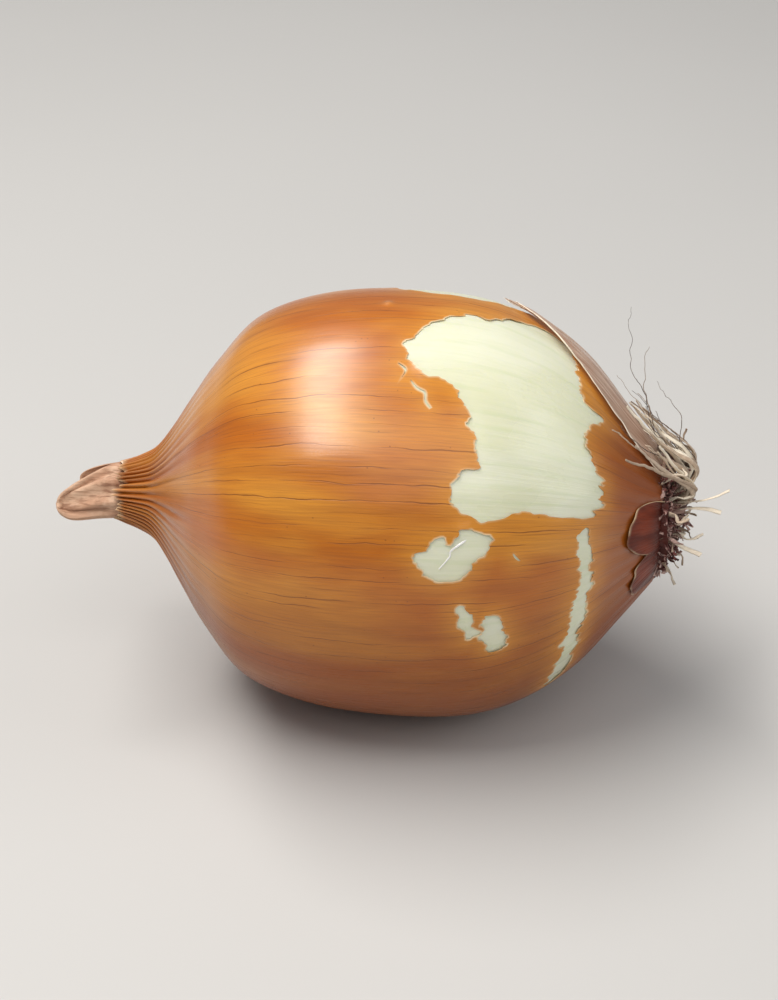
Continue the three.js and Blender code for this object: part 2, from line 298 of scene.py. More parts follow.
class Tree:
    def __init__(self, tree):
        self.tree = tree

    def add(self, kind, inputs=None, **settings):
        made = self.tree.nodes.new(kind)
        for name, value in settings.items():
            setattr(made, name, value)
        for key, value in (inputs or {}).items():
            if isinstance(value, bpy.types.NodeSocket):
                self.tree.links.new(value, made.inputs[key])
            else:
                made.inputs[key].default_value = value
        return made

    def feed(self, sockets, **outputs):
        for word, output in outputs.items():
            self.tree.links.new(output, sockets[named(word)])

    def math(self, operation, *values):
        return self.add("ShaderNodeMath", dict(enumerate(values)), operation=operation).outputs[0]

    def vector(self, operation, *values):
        return self.add("ShaderNodeVectorMath", dict(enumerate(values)), operation=operation).outputs[0]

    def scaled(self, vector, factor):
        return self.add("ShaderNodeVectorMath", {0: vector, "Scale": factor}, operation="SCALE").outputs[0]

    def split(self, vector):
        return self.add("ShaderNodeSeparateXYZ", {0: vector}).outputs

    def joined(self, x, y, z):
        return self.add("ShaderNodeCombineXYZ", {0: x, 1: y, 2: z}).outputs[0]

    def ranged(self, value, low, high, to_low=0.0, to_high=1.0):
        inputs = {"Value": value, "From Min": low, "From Max": high, "To Min": to_low, "To Max": to_high}
        return self.add("ShaderNodeMapRange", inputs, interpolation_type="SMOOTHSTEP").outputs[0]

    def noise(self, vector, scale, detail=2.0, distortion=0.0):
        inputs = {"Vector": vector, "Scale": scale, "Detail": detail, "Distortion": distortion}
        return self.add("ShaderNodeTexNoise", inputs).outputs["Fac"]

    def attribute(self, name, output="Fac"):
        return self.add("ShaderNodeAttribute", attribute_name=name).outputs[output]

    def painted(self, colour, *coats):
        """Lays coats over a colour: each is a mask and the colour that shows through it."""
        for mask, tint in coats:
            inputs = {0: mask, 6: colour, 7: tint}
            colour = self.add("ShaderNodeMix", inputs, data_type="RGBA").outputs[2]
        return colour

    def bumped(self, height, distance, strength):
        inputs = {"Height": height, "Distance": distance, "Strength": strength}
        return self.add("ShaderNodeBump", inputs).outputs[0]

    def effect(self, group, **inputs):
        """Places a shared effect in a finish, with its own values."""
        values = {named(word): value for word, value in inputs.items()}
        return self.add("ShaderNodeGroup", values, node_tree=group).outputs[0]


print("coat_weight is the socket", named("coat_weight"))

# %% Groups and finishes
SOCKET_KINDS = {float: "Float", int: "Int"}


def new_group(name, kind, output, **inputs):
    """A node group with one output; an input is given by its first value, or by a word for its kind."""
    group = bpy.data.node_groups.new(name, kind)
    for word, value in inputs.items():
        socket = SOCKET_KINDS.get(type(value), value)
        made = group.interface.new_socket(named(word), in_out="INPUT", socket_type=f"NodeSocket{socket}")
        if socket != value:
            made.default_value = value
    for word, socket in output.items():
        group.interface.new_socket(named(word), in_out="OUTPUT", socket_type=f"NodeSocket{socket}")
    tree = Tree(group)
    return tree, tree.add("NodeGroupInput").outputs, tree.add("NodeGroupOutput").inputs


def new_finish(name, **values):
    """A material with its Principled shader; constant values are set on the shader's own sockets."""
    material = bpy.data.materials.new(name)
    material.use_nodes = True
    shader = material.node_tree.nodes["Principled BSDF"]
    for word, value in values.items():
        shader.inputs[named(word)].default_value = value
    return material, Tree(material.node_tree), shader.inputs


print("numbers become sockets of the kinds", list(SOCKET_KINDS.values()))

# %% [markdown]
# ## Effects that several finishes share
# Veins run from neck to roots in every layer of an onion, as fibres do in its dry leaves, and the dry
# skin has small specks. Each effect is a node group. The veins are numbered lanes round the axis,
# each with its line off its middle by chance, so that they waver and break off, as plain stripes would not.

# %% Veins
tree, given, put = new_group(
    "vein_lines",
    "ShaderNodeTree",
    {"lines": "Float"},
    place="Vector",
    count=60.0,
    width=0.05,
    waver=0.6,
    gaps=0.45,
)
spot = tree.split(given["Place"])
turn = tree.math("DIVIDE", tree.math("ARCTAN2", spot[1], spot[0]), math.tau)
kinks = tree.noise(tree.vector("MULTIPLY", given["Place"], (7, 7, 4)), 1.0, 3.0)
shift = tree.math("MULTIPLY", tree.math("SUBTRACT", kinks, 0.5), given["Waver"])
wavered = tree.math("MULTIPLY_ADD", turn, given["Count"], shift)
lane = tree.math("FLOOR", wavered)
number = tree.math("FLOORED_MODULO", lane, given["Count"])
chance = tree.add("ShaderNodeTexWhiteNoise", {"W": number}, noise_dimensions="1D").outputs["Value"]
middle = tree.math("MULTIPLY_ADD", chance, 0.6, 0.2)
off = tree.math("ABSOLUTE", tree.math("SUBTRACT", tree.math("SUBTRACT", wavered, lane), middle))
stretch = tree.joined(tree.math("MULTIPLY", number, 7.31), spot[2], 0.0)
patchy = tree.noise(tree.vector("MULTIPLY", stretch, (1, 2.6, 1)), 1.0, 3.0)
width = tree.math("MULTIPLY", given["Width"], tree.ranged(patchy, given["Gaps"], 0.75, 0.45, 1.3))
line = tree.ranged(off, width, tree.math("MULTIPLY", width, 0.2))
kept = tree.ranged(patchy, given["Gaps"], tree.math("ADD", given["Gaps"], 0.2))
tree.feed(put, lines=tree.math("MULTIPLY", line, kept))
vein_lines = tree.tree
print("made", vein_lines.name, "with", len(vein_lines.nodes), "nodes")

# %% Fibres and specks
tree, given, put = new_group(
    "fibre_grain", "ShaderNodeTree", {"grain": "Float"}, place="Vector", around=90.0, along=4.0, detail=3.0
)
stretch = tree.joined(given["Around"], given["Around"], given["Along"])
stretched = tree.vector("MULTIPLY", given["Place"], stretch)
tree.feed(put, grain=tree.noise(stretched, 1.0, given["Detail"]))
fibre_grain = tree.tree

tree, given, put = new_group(
    "specks", "ShaderNodeTree", {"specks": "Float"}, place="Vector", scale=500.0, size=0.16, share=0.3
)
cells = tree.add("ShaderNodeTexVoronoi", {"Vector": given["Place"], "Scale": given["Scale"]}, feature="F1")
dot = tree.ranged(cells.outputs["Distance"], given["Size"], tree.math("MULTIPLY", given["Size"], 0.5))
pick = tree.add("ShaderNodeSeparateColor", {0: cells.outputs["Color"]}).outputs[0]
chosen = tree.math("LESS_THAN", pick, given["Share"])
tree.feed(put, specks=tree.math("MULTIPLY", dot, chosen))
specks = tree.tree
print("shared effects:", [group.name for group in bpy.data.node_groups])

# %% [markdown]
# ## Finish of the dry skin
# The skin is thin, dry and amber, golden where the light comes through it and brown where it lies double.
# Its underside is painted darker brown as shade. Veins and fibres run along it, its torn edges are pale,
# and the folds at the collar carry painted shade in their depths and painted light on their ridges. A
# picture of onion skin would be quicker, but it would not know where the tears are. Marks on the mesh say
# how near a torn edge is and how deep a fold is, so that the colours, painted light and shade among them,
# follow the shape.

# %% Dry skin finish
AMBER = (0.52, 0.142, 0.008, 1)
GOLD = (0.73, 0.300, 0.035, 1)
BROWN = (0.23, 0.046, 0.004, 1)
FOOT_BROWN = (0.27, 0.058, 0.007, 1)
VEIN_AND_FOLD_SHADE_BROWN = (0.17, 0.046, 0.009, 1)
CREAM = (0.82, 0.66, 0.42, 1)
TAN = (0.64, 0.27, 0.085, 1)


def dry_skin_finish():
    material, tree, shader = new_finish("dry_skin", coat_roughness=0.23, specular_ior_level=0.25)
    place = tree.attribute("place", "Vector")
    rim, near, fold = tree.attribute("rim"), tree.attribute("near_tear"), tree.attribute("fold")
    over, _, along = tree.split(place)
    clouds = tree.noise(tree.vector("MULTIPLY", place, (2.2, 2.2, 0.9)), 1.0, 3.0, 0.4)
    bands = tree.effect(fibre_grain, place=place, around=7.0, along=0.7, detail=3.0)
    fibres = tree.effect(fibre_grain, place=place, around=120.0, along=5.0, detail=4.0)
    veins = tree.effect(vein_lines, place=place, count=74.0, width=0.045, gaps=0.38)
    fine = tree.effect(vein_lines, place=place, count=190.0, width=0.08, waver=1.3, gaps=0.42)
    dots = tree.effect(specks, place=place, scale=26.0, size=0.13, share=0.22)
    colour = tree.painted(
        AMBER,
        (tree.ranged(clouds, 0.35, 0.68), GOLD),
        (tree.ranged(bands, 0.52, 0.8, 0.0, 0.45), BROWN),
        # Painted shade: the underside of the bulb is laid darker brown.
        (tree.ranged(over, 0.4, -0.8, 0.0, 0.8), BROWN),
        (tree.ranged(along, 0.72, 1.14, 0.0, 0.92), FOOT_BROWN),
        (tree.ranged(along, -0.75, -1.2, 0.0, 0.45), BROWN),
        (tree.math("MULTIPLY", near, 0.75), GOLD),
        # Painted light and shade at the collar: the pleats' ridges are lit pale tan, their depths shaded
        # dark brown.
        (tree.ranged(fold, 0.0, 1.0, 0.0, 0.75), TAN),
        (tree.ranged(fold, 0.0, -1.0, 0.0, 0.9), VEIN_AND_FOLD_SHADE_BROWN),
        (tree.ranged(fibres, 0.3, 0.7, 0.0, 0.22), VEIN_AND_FOLD_SHADE_BROWN),
        (tree.math("MULTIPLY", veins, 0.7), VEIN_AND_FOLD_SHADE_BROWN),
        (tree.math("MULTIPLY", fine, 0.34), VEIN_AND_FOLD_SHADE_BROWN),
        (tree.math("MULTIPLY", dots, 0.5), VEIN_AND_FOLD_SHADE_BROWN),
        (tree.attribute("pimple"), TAN),
        (rim, CREAM),
    )
    height = tree.math("SUBTRACT", tree.math("MULTIPLY", fibres, 0.5), tree.math("MULTIPLY", veins, 0.4))
    tree.feed(
        shader,
        base_color=colour,
        roughness=tree.ranged(fibres, 0.3, 0.75, 0.26, 0.42),
        coat_weight=tree.ranged(over, 0.3, -0.6, 0.75, 0.15),
        normal=tree.bumped(height, 0.12 * MM, 0.5),
    )
    return material


skin_finish = dry_skin_finish()
print("made", skin_finish.name)

# %% [markdown]
# ## Finish of the flesh
# The flesh under the skin is moist and pale, between cream and green, and light passes a little way into
# it. A plain pale colour would look like plaster, so the shader lets light in by subsurface scattering and
# lays a thin clear coat over it. The veins are only a shade greener than the rest.

# %% Flesh finish
FLESH = (0.74, 0.75, 0.53, 1)
FLESH_PALE = (0.80, 0.81, 0.63, 1)
FLESH_GREEN = (0.58, 0.66, 0.37, 1)


def flesh_finish():
    material, tree, shader = new_finish(
        "moist_flesh",
        subsurface_weight=0.25,
        subsurface_radius=(1.0, 0.9, 0.5),
        subsurface_scale=3 * MM,
        coat_weight=0.35,
        coat_roughness=0.12,
    )
    place = tree.attribute("place", "Vector")
    clouds = tree.noise(tree.vector("MULTIPLY", place, (3.5, 3.5, 2.2)), 1.0, 4.0, 0.3)
    veins = tree.effect(vein_lines, place=place, count=70.0, width=0.22, gaps=0.36)
    grain = tree.effect(fibre_grain, place=place, around=60.0, along=3.0, detail=3.0)
    colour = tree.painted(
        FLESH,
        (tree.ranged(clouds, 0.32, 0.7), FLESH_PALE),
        (tree.math("MULTIPLY", veins, 0.22), FLESH_GREEN),
        (tree.ranged(grain, 0.45, 0.75, 0.0, 0.18), FLESH_GREEN),
    )
    tree.feed(
        shader,
        base_color=colour,
        roughness=tree.ranged(clouds, 0.3, 0.7, 0.22, 0.36),
        normal=tree.bumped(tree.math("ADD", grain, clouds), 0.15 * MM, 0.35),
    )
    return material


moist_flesh = flesh_finish()
print("made", moist_flesh.name)

# %% [markdown]
# ## Finishes of the dry leaves, the scales, the roots and their plate
# These are the same dead plant stuff in different states: the neck is matt and fibrous, the film is thin
# enough to see through, the scales at the foot are dark and shiny, and the roots go from cream to nearly
# black. One finish with many switches could serve them all, but five short ones are easier to follow and
# to change. Each root has its own tint, which is marked on its mesh.

# %% Dry leaf finish
LEAF = (0.52, 0.28, 0.17, 1)
LEAF_PALE = (0.70, 0.46, 0.31, 1)
LEAF_DARK = (0.24, 0.095, 0.045, 1)


def dry_leaf_finish():
    material, tree, shader = new_finish("dry_leaf", sheen_weight=0.15, ior=1.4)
    spot = tree.add("ShaderNodeTexCoord").outputs["Object"]
    grain = tree.noise(tree.vector("MULTIPLY", spot, (420, 3600, 3600)), 1.0, 4.0)
    streaks = tree.noise(tree.vector("MULTIPLY", spot, (90, 1700, 1700)), 1.0, 3.0, 0.3)
    clouds = tree.noise(spot, 330.0, 3.0, 0.5)
    colour = tree.painted(
        LEAF,
        (tree.ranged(clouds, 0.35, 0.65), LEAF_PALE),
        (tree.ranged(streaks, 0.48, 0.64, 0.0, 0.7), LEAF_DARK),
        (tree.ranged(grain, 0.52, 0.7, 0.0, 0.4), LEAF_PALE),
        (tree.attribute("shade"), LEAF_DARK),
        (tree.math("MULTIPLY", tree.attribute("rim"), 0.6), LEAF_PALE),
    )
    tree.feed(
        shader,
        base_color=colour,
        roughness=tree.ranged(grain, 0.3, 0.7, 0.55, 0.8),
        normal=tree.bumped(tree.math("ADD", grain, streaks), 0.2 * MM, 0.6),
    )
    return material


dry_leaf = dry_leaf_finish()
print("made", dry_leaf.name)

# %% Film finish
FILM = (0.82, 0.62, 0.48, 1)
FILM_DARK = (0.60, 0.36, 0.24, 1)
THREAD = (0.88, 0.80, 0.70, 1)


def film_finish():
    material, tree, shader = new_finish("papery_film", coat_weight=0.2, coat_roughness=0.3)
    place, rim = tree.attribute("place", "Vector"), tree.attribute("rim")
    fibres = tree.effect(fibre_grain, place=place, around=70.0, along=4.0, detail=4.0)
    veins = tree.effect(vein_lines, place=place, count=110.0, width=0.12, gaps=0.4)
    bands = tree.effect(fibre_grain, place=place, around=34.0, along=6.0, detail=5.0)
    colour = tree.painted(
        FILM_DARK,
        (tree.ranged(bands, 0.35, 0.7), FILM),
        (tree.math("MULTIPLY", veins, 0.5), FILM_DARK),
        (rim, THREAD),
    )
    thin = tree.ranged(bands, 0.3, 0.7, 0.42, 0.66)
    tree.feed(
        shader,
        base_color=colour,
        roughness=tree.ranged(fibres, 0.3, 0.7, 0.35, 0.55),
        alpha=tree.math("MAXIMUM", thin, tree.math("MULTIPLY", rim, 0.95)),
        normal=tree.bumped(fibres, 0.15 * MM, 0.5),
    )
    return material


papery_film = film_finish()
print("made", papery_film.name)

# %% Root plate and root finishes
ROOT_CREAM = (0.90, 0.80, 0.64, 1)
ROOT_GREY = (0.50, 0.37, 0.26, 1)
ROOT_DARK = (0.055, 0.03, 0.022, 1)
PLATE = (0.07, 0.018, 0.014, 1)
PLATE_RED = (0.20, 0.06, 0.05, 1)
PLATE_PALE = (0.62, 0.42, 0.36, 1)


def dry_root_finish():
    material, tree, shader = new_finish("dry_root", sheen_weight=0.1)
    spot = tree.add("ShaderNodeTexCoord").outputs["Object"]
    tint = tree.attribute("tint")
    streaks = tree.noise(spot, 1800.0, 3.0)
    mottle = tree.noise(spot, 420.0, 3.0)
    colour = tree.painted(
        ROOT_DARK,
        (tree.ranged(tint, 0.05, 0.45), ROOT_GREY),
        (tree.ranged(tint, 0.4, 0.95), ROOT_CREAM),
        (tree.ranged(mottle, 0.5, 0.72, 0.0, 0.28), ROOT_DARK),
        (tree.ranged(streaks, 0.5, 0.7, 0.0, 0.25), ROOT_CREAM),
    )
    tree.feed(
        shader,
        base_color=colour,
        roughness=tree.ranged(mottle, 0.3, 0.7, 0.6, 0.9),
        normal=tree.bumped(streaks, 0.1 * MM, 0.6),
    )
    return material


def root_plate_finish():
    material, tree, shader = new_finish("root_plate")
    spot = tree.add("ShaderNodeTexCoord").outputs["Object"]
    lumps = tree.noise(spot, 520.0, 5.0, 0.8)
    flecks = tree.noise(spot, 1300.0, 4.0, 1.2)
    colour = tree.painted(
        PLATE,
        (tree.ranged(lumps, 0.4, 0.65), PLATE_RED),
        (tree.ranged(flecks, 0.51, 0.62, 0.0, 0.85), PLATE_PALE),
        (tree.ranged(tree.attribute("tint"), 0.6, 0.95, 0.0, 0.8), PLATE_PALE),
    )
    tree.feed(
        shader,
        base_color=colour,
        roughness=tree.ranged(lumps, 0.3, 0.7, 0.45, 0.8),
        normal=tree.bumped(tree.math("ADD", lumps, flecks), 0.3 * MM, 0.8),
    )
    return material


dry_root = dry_root_finish()
root_plate = root_plate_finish()
print("made", dry_root.name, "and", root_plate.name)

# %% Dark scale finish
SCALE = (0.10, 0.012, 0.003, 1)
SCALE_RED = (0.22, 0.032, 0.007, 1)


def foot_scale_finish():
    material, tree, shader = new_finish("dark_scale", specular_ior_level=0.2)
    place, rim = tree.attribute("place", "Vector"), tree.attribute("rim")
    fibres = tree.effect(fibre_grain, place=place, around=40.0, along=5.0, detail=4.0)
    clouds = tree.noise(place, 6.0, 3.0)
    colour = tree.painted(
        SCALE,
        (tree.ranged(clouds, 0.4, 0.7), SCALE_RED),
        (tree.ranged(fibres, 0.5, 0.75, 0.0, 0.5), SCALE_RED),
        # Painted shade: the scales darken to the plate's colour towards the plate, where their bend catches
        # the light.
        (tree.ranged(tree.split(place)[2], 1.12, 1.2, 0.0, 0.9), PLATE),
        (tree.math("MULTIPLY", rim, tree.ranged(clouds, 0.4, 0.6, 0.1, 0.7)), CREAM),
    )
    tree.feed(
        shader,
        base_color=colour,
        roughness=tree.ranged(fibres, 0.3, 0.7, 0.22, 0.4),
        normal=tree.bumped(fibres, 0.15 * MM, 0.5),
    )
    return material


dark_scale = foot_scale_finish()
print("finishes:", [material.name for material in bpy.data.materials if material.users == 0])

# %% [markdown]
# ## A lathe made of nodes
# The flesh and the root plate are turned shapes. Blender's Screw modifier could turn them, but it leaves
# the seam, the poles and the flat spot to be mended by hand. The node tree below does it all: it takes
# half an outline, drawn as a chain of points in (along, radius), and turns it round the onion's axis. A
# grid is laid out, each of its points looks up the outline, and an angle swings it round. What would sink
# into the table is pressed flat, and the seam and the two poles are merged.

# %% The lathe tree
SEAM_MERGE = 0.004 * MM

tree, given, put = new_group(
    "turned_on_the_axis",
    "GeometryNodeTree",
    {"piece": "Geometry"},
    outline="Geometry",
    steps_along=120,
    steps_around=160,
    axis_height=30 * MM,
    rest_height=0.0,
    finish="Material",
)
chain = tree.add("GeometryNodeMeshToCurve", {"Mesh": given["Outline"]}).outputs[0]
sheet = tree.add(
    "GeometryNodeMeshGrid",
    {"Size X": 1.0, "Size Y": 1.0, "Vertices X": given["Steps Along"], "Vertices Y": given["Steps Around"]},
)
across = tree.split(sheet.outputs["UV Map"])
looked_up = tree.add(
    "GeometryNodeSampleCurve", {"Curves": chain, "Factor": across[0]}, mode="FACTOR", use_all_curves=True
)
spot = tree.split(looked_up.outputs["Position"])
angle = tree.math("MULTIPLY", across[1], math.tau)
front = tree.math("MULTIPLY", tree.math("SINE", angle), spot[1])
height = tree.math("MULTIPLY_ADD", tree.math("COSINE", angle), spot[1], given["Axis Height"])
rested = tree.math("MAXIMUM", height, given["Rest Height"])
turned_spot = tree.joined(spot[0], front, rested)
moved = tree.add("GeometryNodeSetPosition", {"Geometry": sheet.outputs["Mesh"], "Position": turned_spot})
merged = tree.add("GeometryNodeMergeByDistance", {"Geometry": moved.outputs[0], "Distance": SEAM_MERGE})
smooth = tree.add("GeometryNodeSetShadeSmooth", {"Geometry": merged.outputs[0]})
real = tree.add("GeometryNodeRealizeInstances", {"Geometry": smooth.outputs[0]})
done = tree.add("GeometryNodeSetMaterial", {"Geometry": real.outputs[0], "Material": given["Finish"]})
tree.feed(put, piece=done.outputs[0])
lathe = tree.tree
print("lathe inputs:", [item.name for item in lathe.interface.items_tree])

# %% Running a node tree


def chains(name, lines, marks=None):
    """A mesh of loose edges: one chain of points for each line, with marks that hold along a line."""
    mesh = bpy.data.meshes.new(name)
    counts = [len(line) for line in lines]
    starts = np.cumsum([0, *counts[:-1]])
    edges = [(start + i, start + i + 1) for start, count in zip(starts, counts) for i in range(count - 1)]
    mesh.from_pydata(np.concatenate(lines).tolist(), edges, [])
    for label, values in (marks or {}).items():
        mark(mesh, label, np.repeat(values, counts))
    return mesh


def grown(name, tree, start, **values):
    """Runs a node tree on a start mesh, and keeps what it makes as a plain mesh."""
    piece = bpy.data.objects.new(name, start)
    bpy.context.scene.collection.objects.link(piece)
    modifier = piece.modifiers.new(name, "NODES")
    modifier.node_group = tree
    sockets = {item.name: item.identifier for item in tree.interface.items_tree if item.in_out == "INPUT"}
    for word, value in values.items():
        modifier[sockets[named(word)]] = value
    return settled(piece)


def turned(name, line, steps, rest_height, finish):
    """Turns an outline on the lathe."""
    start = chains(f"{name}_outline", [line])
    sizes = {"steps_along": steps[0], "steps_around": steps[1], "axis_height": AXIS_HEIGHT}
    return outward_faces(grown(name, lathe, start, rest_height=rest_height, finish=finish, **sizes))


print("pieces are turned by", lathe.name)

# %% [markdown]
# ## The flesh
# The bulb under the skin. It could be a stretched sphere, but the torn windows show it right beside the
# skin, so it has to follow the same outline at the skin's own depth. It is turned on the lathe, then
# given the bulb's unevenness and the low ribs of its outermost scale.

# %% Flesh bulb
SKIN_WALL = 0.1 * MM
SKIN_GAP = 0.05 * MM
FLESH_DEPTH = SKIN_WALL + SKIN_GAP
FLESH_STEPS = (170, 200)
SIDE_POINTS = 150
# How far the flesh's ends reach past its side, and its least radius there
NECK_END = 0.6 * MM
FOOT_END = 0.2 * MM
LEAST_RADIUS = 0.2 * MM
FLESH_RIBS = 34
FLESH_RIB_HEIGHT = 0.04 * MM
# The flesh draws back from the folds of the skin at the foot, and from the pleats at the collar.
FOOT_GAP = 0.4 * MM
FOOT_GAP_ALONG = (30 * MM, 34 * MM)
PLEAT_DEPTH = 0.5 * MM
PLEAT_START = -25 * MM
PLEAT_END = -40 * MM
POLE_EASE = 4 * MM

flesh_low, flesh_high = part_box("flesh_bulb")


def pleating(along):
    """How strongly the skin is gathered at a place along the axis: 0 on the bulb, 1 at the collar."""
    return smoothstep(-along, -PLEAT_START, -PLEAT_END)


side = np.linspace(flesh_low.x + NECK_END, flesh_high.x - FOOT_END, SIDE_POINTS)
depth = FLESH_DEPTH + (PLEAT_DEPTH + FLESH_DEPTH) * pleating(side)
depth = depth + FOOT_GAP * smoothstep(side, *FOOT_GAP_ALONG)
side_radius = np.maximum(bulb_radius(side) - depth, LEAST_RADIUS)
flesh_outline = np.stack([side, side_radius, 0 * side], axis=-1)
flesh_line = np.concatenate([[(flesh_low.x, 0, 0)], flesh_outline, [(flesh_high.x, 0, 0)]])
flesh = turned("flesh", flesh_line, FLESH_STEPS, FLESH_DEPTH, moist_flesh)
points = points_of(flesh.data)
angle, radius = angle_and_radius(points)
ribs = FLESH_RIB_HEIGHT * np.cos(FLESH_RIBS * (angle + 0.05 * np.sin(5 * angle)))
swell = (unevenness(points[:, 0], angle) + ribs) * np.minimum(1, radius / POLE_EASE)
points = polar(points[:, 0], angle, radius + swell)
points[:, 2] = np.maximum(points[:, 2], FLESH_DEPTH)
move_points(flesh.data, points)
mark_round_the_axis(flesh.data)
finished(flesh, "flesh_bulb", moist_flesh)

# %% [markdown]
# ## The torn dry skin
# The skin is one thin sheet with ragged holes. Cutting holes out of a finished mesh would leave stepped
# or messy edges, so the sheet is made flat first: rows of points are laid out over an unrolled map of the
# bulb, the torn outlines are drawn into it as fixed lines, and a Delaunay triangulation joins it all up.
# The triangles inside the tears are dropped, the map is rolled on to the bulb, and the edges lift a little
# as dry skin does. The rows are closer together at the collar, where the skin is gathered into pleats.

# %% Torn outlines
# Millimetres along the axis, degrees up from the middle of the torn side
TEARS = [
    [
        (1, 43), (5, 53), (10, 59), (13, 58), (17, 64), (21, 68), (25, 66), (27, 42), (30, 40), (27.5, 26),
        (30, 12), (29, -2), (19, -1), (13.5, -4), (9, 1), (10, 8), (12.5, 11), (11, 22), (9, 30),
        (6.5, 33), (4, 34),
    ],
    [(4, -14), (6, -10), (7.5, -8), (9, -10), (10.5, -6), (15, -8), (13, -14), (11, -19), (7, -19.5)],
    [(9.8, -27), (11.8, -28.5), (13.2, -35), (11.5, -37)],
    [(14.2, -30), (16.6, -33), (17.3, -40), (15.5, -43), (13.9, -38)],
    [
        (27.2, -8), (29, -8), (29.2, -24), (28.8, -42), (27.4, -58), (25.5, -74), (22.5, -80),
        (24.6, -62), (26.4, -42), (27.4, -24),
    ],
    [(-2, 79), (5, 72), (15, 74), (20, 80), (26, 88), (25, 104), (15, 112), (4, 106), (-4, 92)],
]
CRACKS = [
    [(0.2, 37), (1.4, 35), (0.9, 32.5)],
    [(2.2, 32), (3.2, 29.8), (4.4, 28.6), (4.6, 26.2), (5.4, 24.4)],
    [(17.9, -12.6), (18.4, -14), (19.0, -15)],
]
CRACK_WIDTH = 0.24
MAP_RADIUS = 30 * MM
TEAR_SPACING = 0.28 * MM
RAG_ALONG = 0.85 * MM
RAG_ACROSS = 0.3 * MM


def crack_outline(crack):
    """A narrow lens-shaped hole along a crack."""
    line = smooth_path(crack, 4)
    width = CRACK_WIDTH * np.sin(np.pi * np.linspace(0.12, 0.88, len(line)))
    aside = np.stack([0.5 * width, 0.9 * width], axis=-1)
    return np.concatenate([line + aside, (line - aside)[::-1]])


def on_the_map(tear):
    """A tear's points on the unrolled bulb: metres along, and metres round at the map's radius."""
    along, up = np.asarray(tear, float).T
    return np.stack([along * MM, up_from_torn_side(up) * MAP_RADIUS], axis=-1)


def even_steps(path, spacing):
    """A closed path with its points at even distances."""
    closed = np.concatenate([path, path[:1]])
    reach = np.concatenate([[0], np.cumsum(np.linalg.norm(np.diff(closed, axis=0), axis=1))])
    places = np.linspace(0, reach[-1], max(12, int(reach[-1] / spacing)), endpoint=False)
    return np.stack([np.interp(places, reach, closed[:, i]) for i in range(2)], axis=-1)


def ragged(path, seed):
    """Frays a torn outline: long fibres tear further along than across."""
    spots = np.concatenate([path * (600, 1500), np.full((len(path), 1), 7.7 * seed)], axis=1)
    coarse = noise_at(spots * 0.5, 1.0)
    fine = noise_at(spots * 1.7 + 31, 1.0)
    across = noise_at(spots[:, [1, 0, 2]] + 57, 1.0)
    frayed = path.copy()
    frayed[:, 0] += RAG_ALONG * (coarse + 0.6 * fine)
    frayed[:, 1] += RAG_ACROSS * across
    return frayed


tear_paths = [
    ragged(even_steps(smooth_path(on_the_map(tear), 12, closed=True), TEAR_SPACING), seed)
    for seed, tear in enumerate(TEARS)
]
tear_paths += [even_steps(on_the_map(crack_outline(crack)), TEAR_SPACING) for crack in CRACKS]
print("torn outlines:", len(tear_paths), "with", sum(map(len, tear_paths)), "points")

# %% Rows of points for the sheet
SEAM_ANGLE = math.radians(-130)
COLLAR_STEP = 0.45 * MM
BULB_STEP = 0.85 * MM
COLLAR_END = -31 * MM
SHOULDER = -22 * MM
COLLAR_AROUND = 448
BULB_AROUND = 232
# Rows beside a torn edge: how far out they are, and every how many points they keep
HALOS = [(0.3 * MM, 1), (0.8 * MM, 2)]
HALO_KEPT = 0.85
CLEAR_OF_TEAR = 1.25 * MM
PIMPLE = (-2.4, 62)
PIMPLE_RADIUS = 0.75 * MM
PIMPLE_RINGS = (0.4, 0.8, 1.2, 1.6)
PIMPLE_AROUND = 12


def sheet_points():
    """Rows of points over the unrolled bulb, from the collar's lip to the root opening."""
    collar = np.arange(LIP, COLLAR_END, COLLAR_STEP)
    bulb = np.linspace(COLLAR_END, ROOT_OPENING, int((ROOT_OPENING - COLLAR_END) / BULB_STEP))
    points = []
    for along in [*collar, *bulb]:
        gathered = smoothstep(-along, -SHOULDER, -COLLAR_END)
        count = int(BULB_AROUND + (COLLAR_AROUND - BULB_AROUND) * gathered)
        angles = SEAM_ANGLE + math.tau * np.arange(count + 1) / count
        points.append(np.stack([np.full(count + 1, along), angles * MAP_RADIUS], axis=-1))
    return np.concatenate(points)


def halo(path, distance):
    """The torn outline moved outwards, to give the sheet fine rows beside its edge."""
    ahead = np.roll(path, -1, axis=0) - np.roll(path, 1, axis=0)
    area = np.sum(path[:, 0] * np.roll(path[:, 1], -1) - np.roll(path[:, 0], -1) * path[:, 1])
    out = np.stack([ahead[:, 1], -ahead[:, 0]], axis=-1) * np.sign(area)
    return path + distance * out / np.linalg.norm(out, axis=1, keepdims=True)


def nearest(targets, points):
    """For each point the distance to its nearest target, and the number of that target."""
    tree = kdtree.KDTree(len(targets))
    for i, target in enumerate(targets):
        tree.insert(np.resize([*target, 0.0], 3), i)
    tree.balance()
    found = [tree.find(np.resize([*point, 0.0], 3)) for point in points]
    return np.array([hit[2] for hit in found]), np.array([hit[1] for hit in found])


torn = np.concatenate(tear_paths)
rows = sheet_points()
rows = rows[nearest(torn, rows)[0] > CLEAR_OF_TEAR]
beside = []
for distance, every in HALOS:
    ring = np.concatenate([halo(path, distance)[::every] for path in tear_paths])
    beside.append(ring[nearest(torn, ring)[0] > HALO_KEPT * distance])
pimple = on_the_map([PIMPLE])[0]
turns = np.linspace(0, math.tau, PIMPLE_AROUND, endpoint=False)
circle = PIMPLE_RADIUS * np.stack([np.cos(turns), np.sin(turns)], axis=-1)
loose = np.concatenate([rows, [pimple], *[pimple + share * circle for share in PIMPLE_RINGS], *beside])
print("loose points:", len(loose))

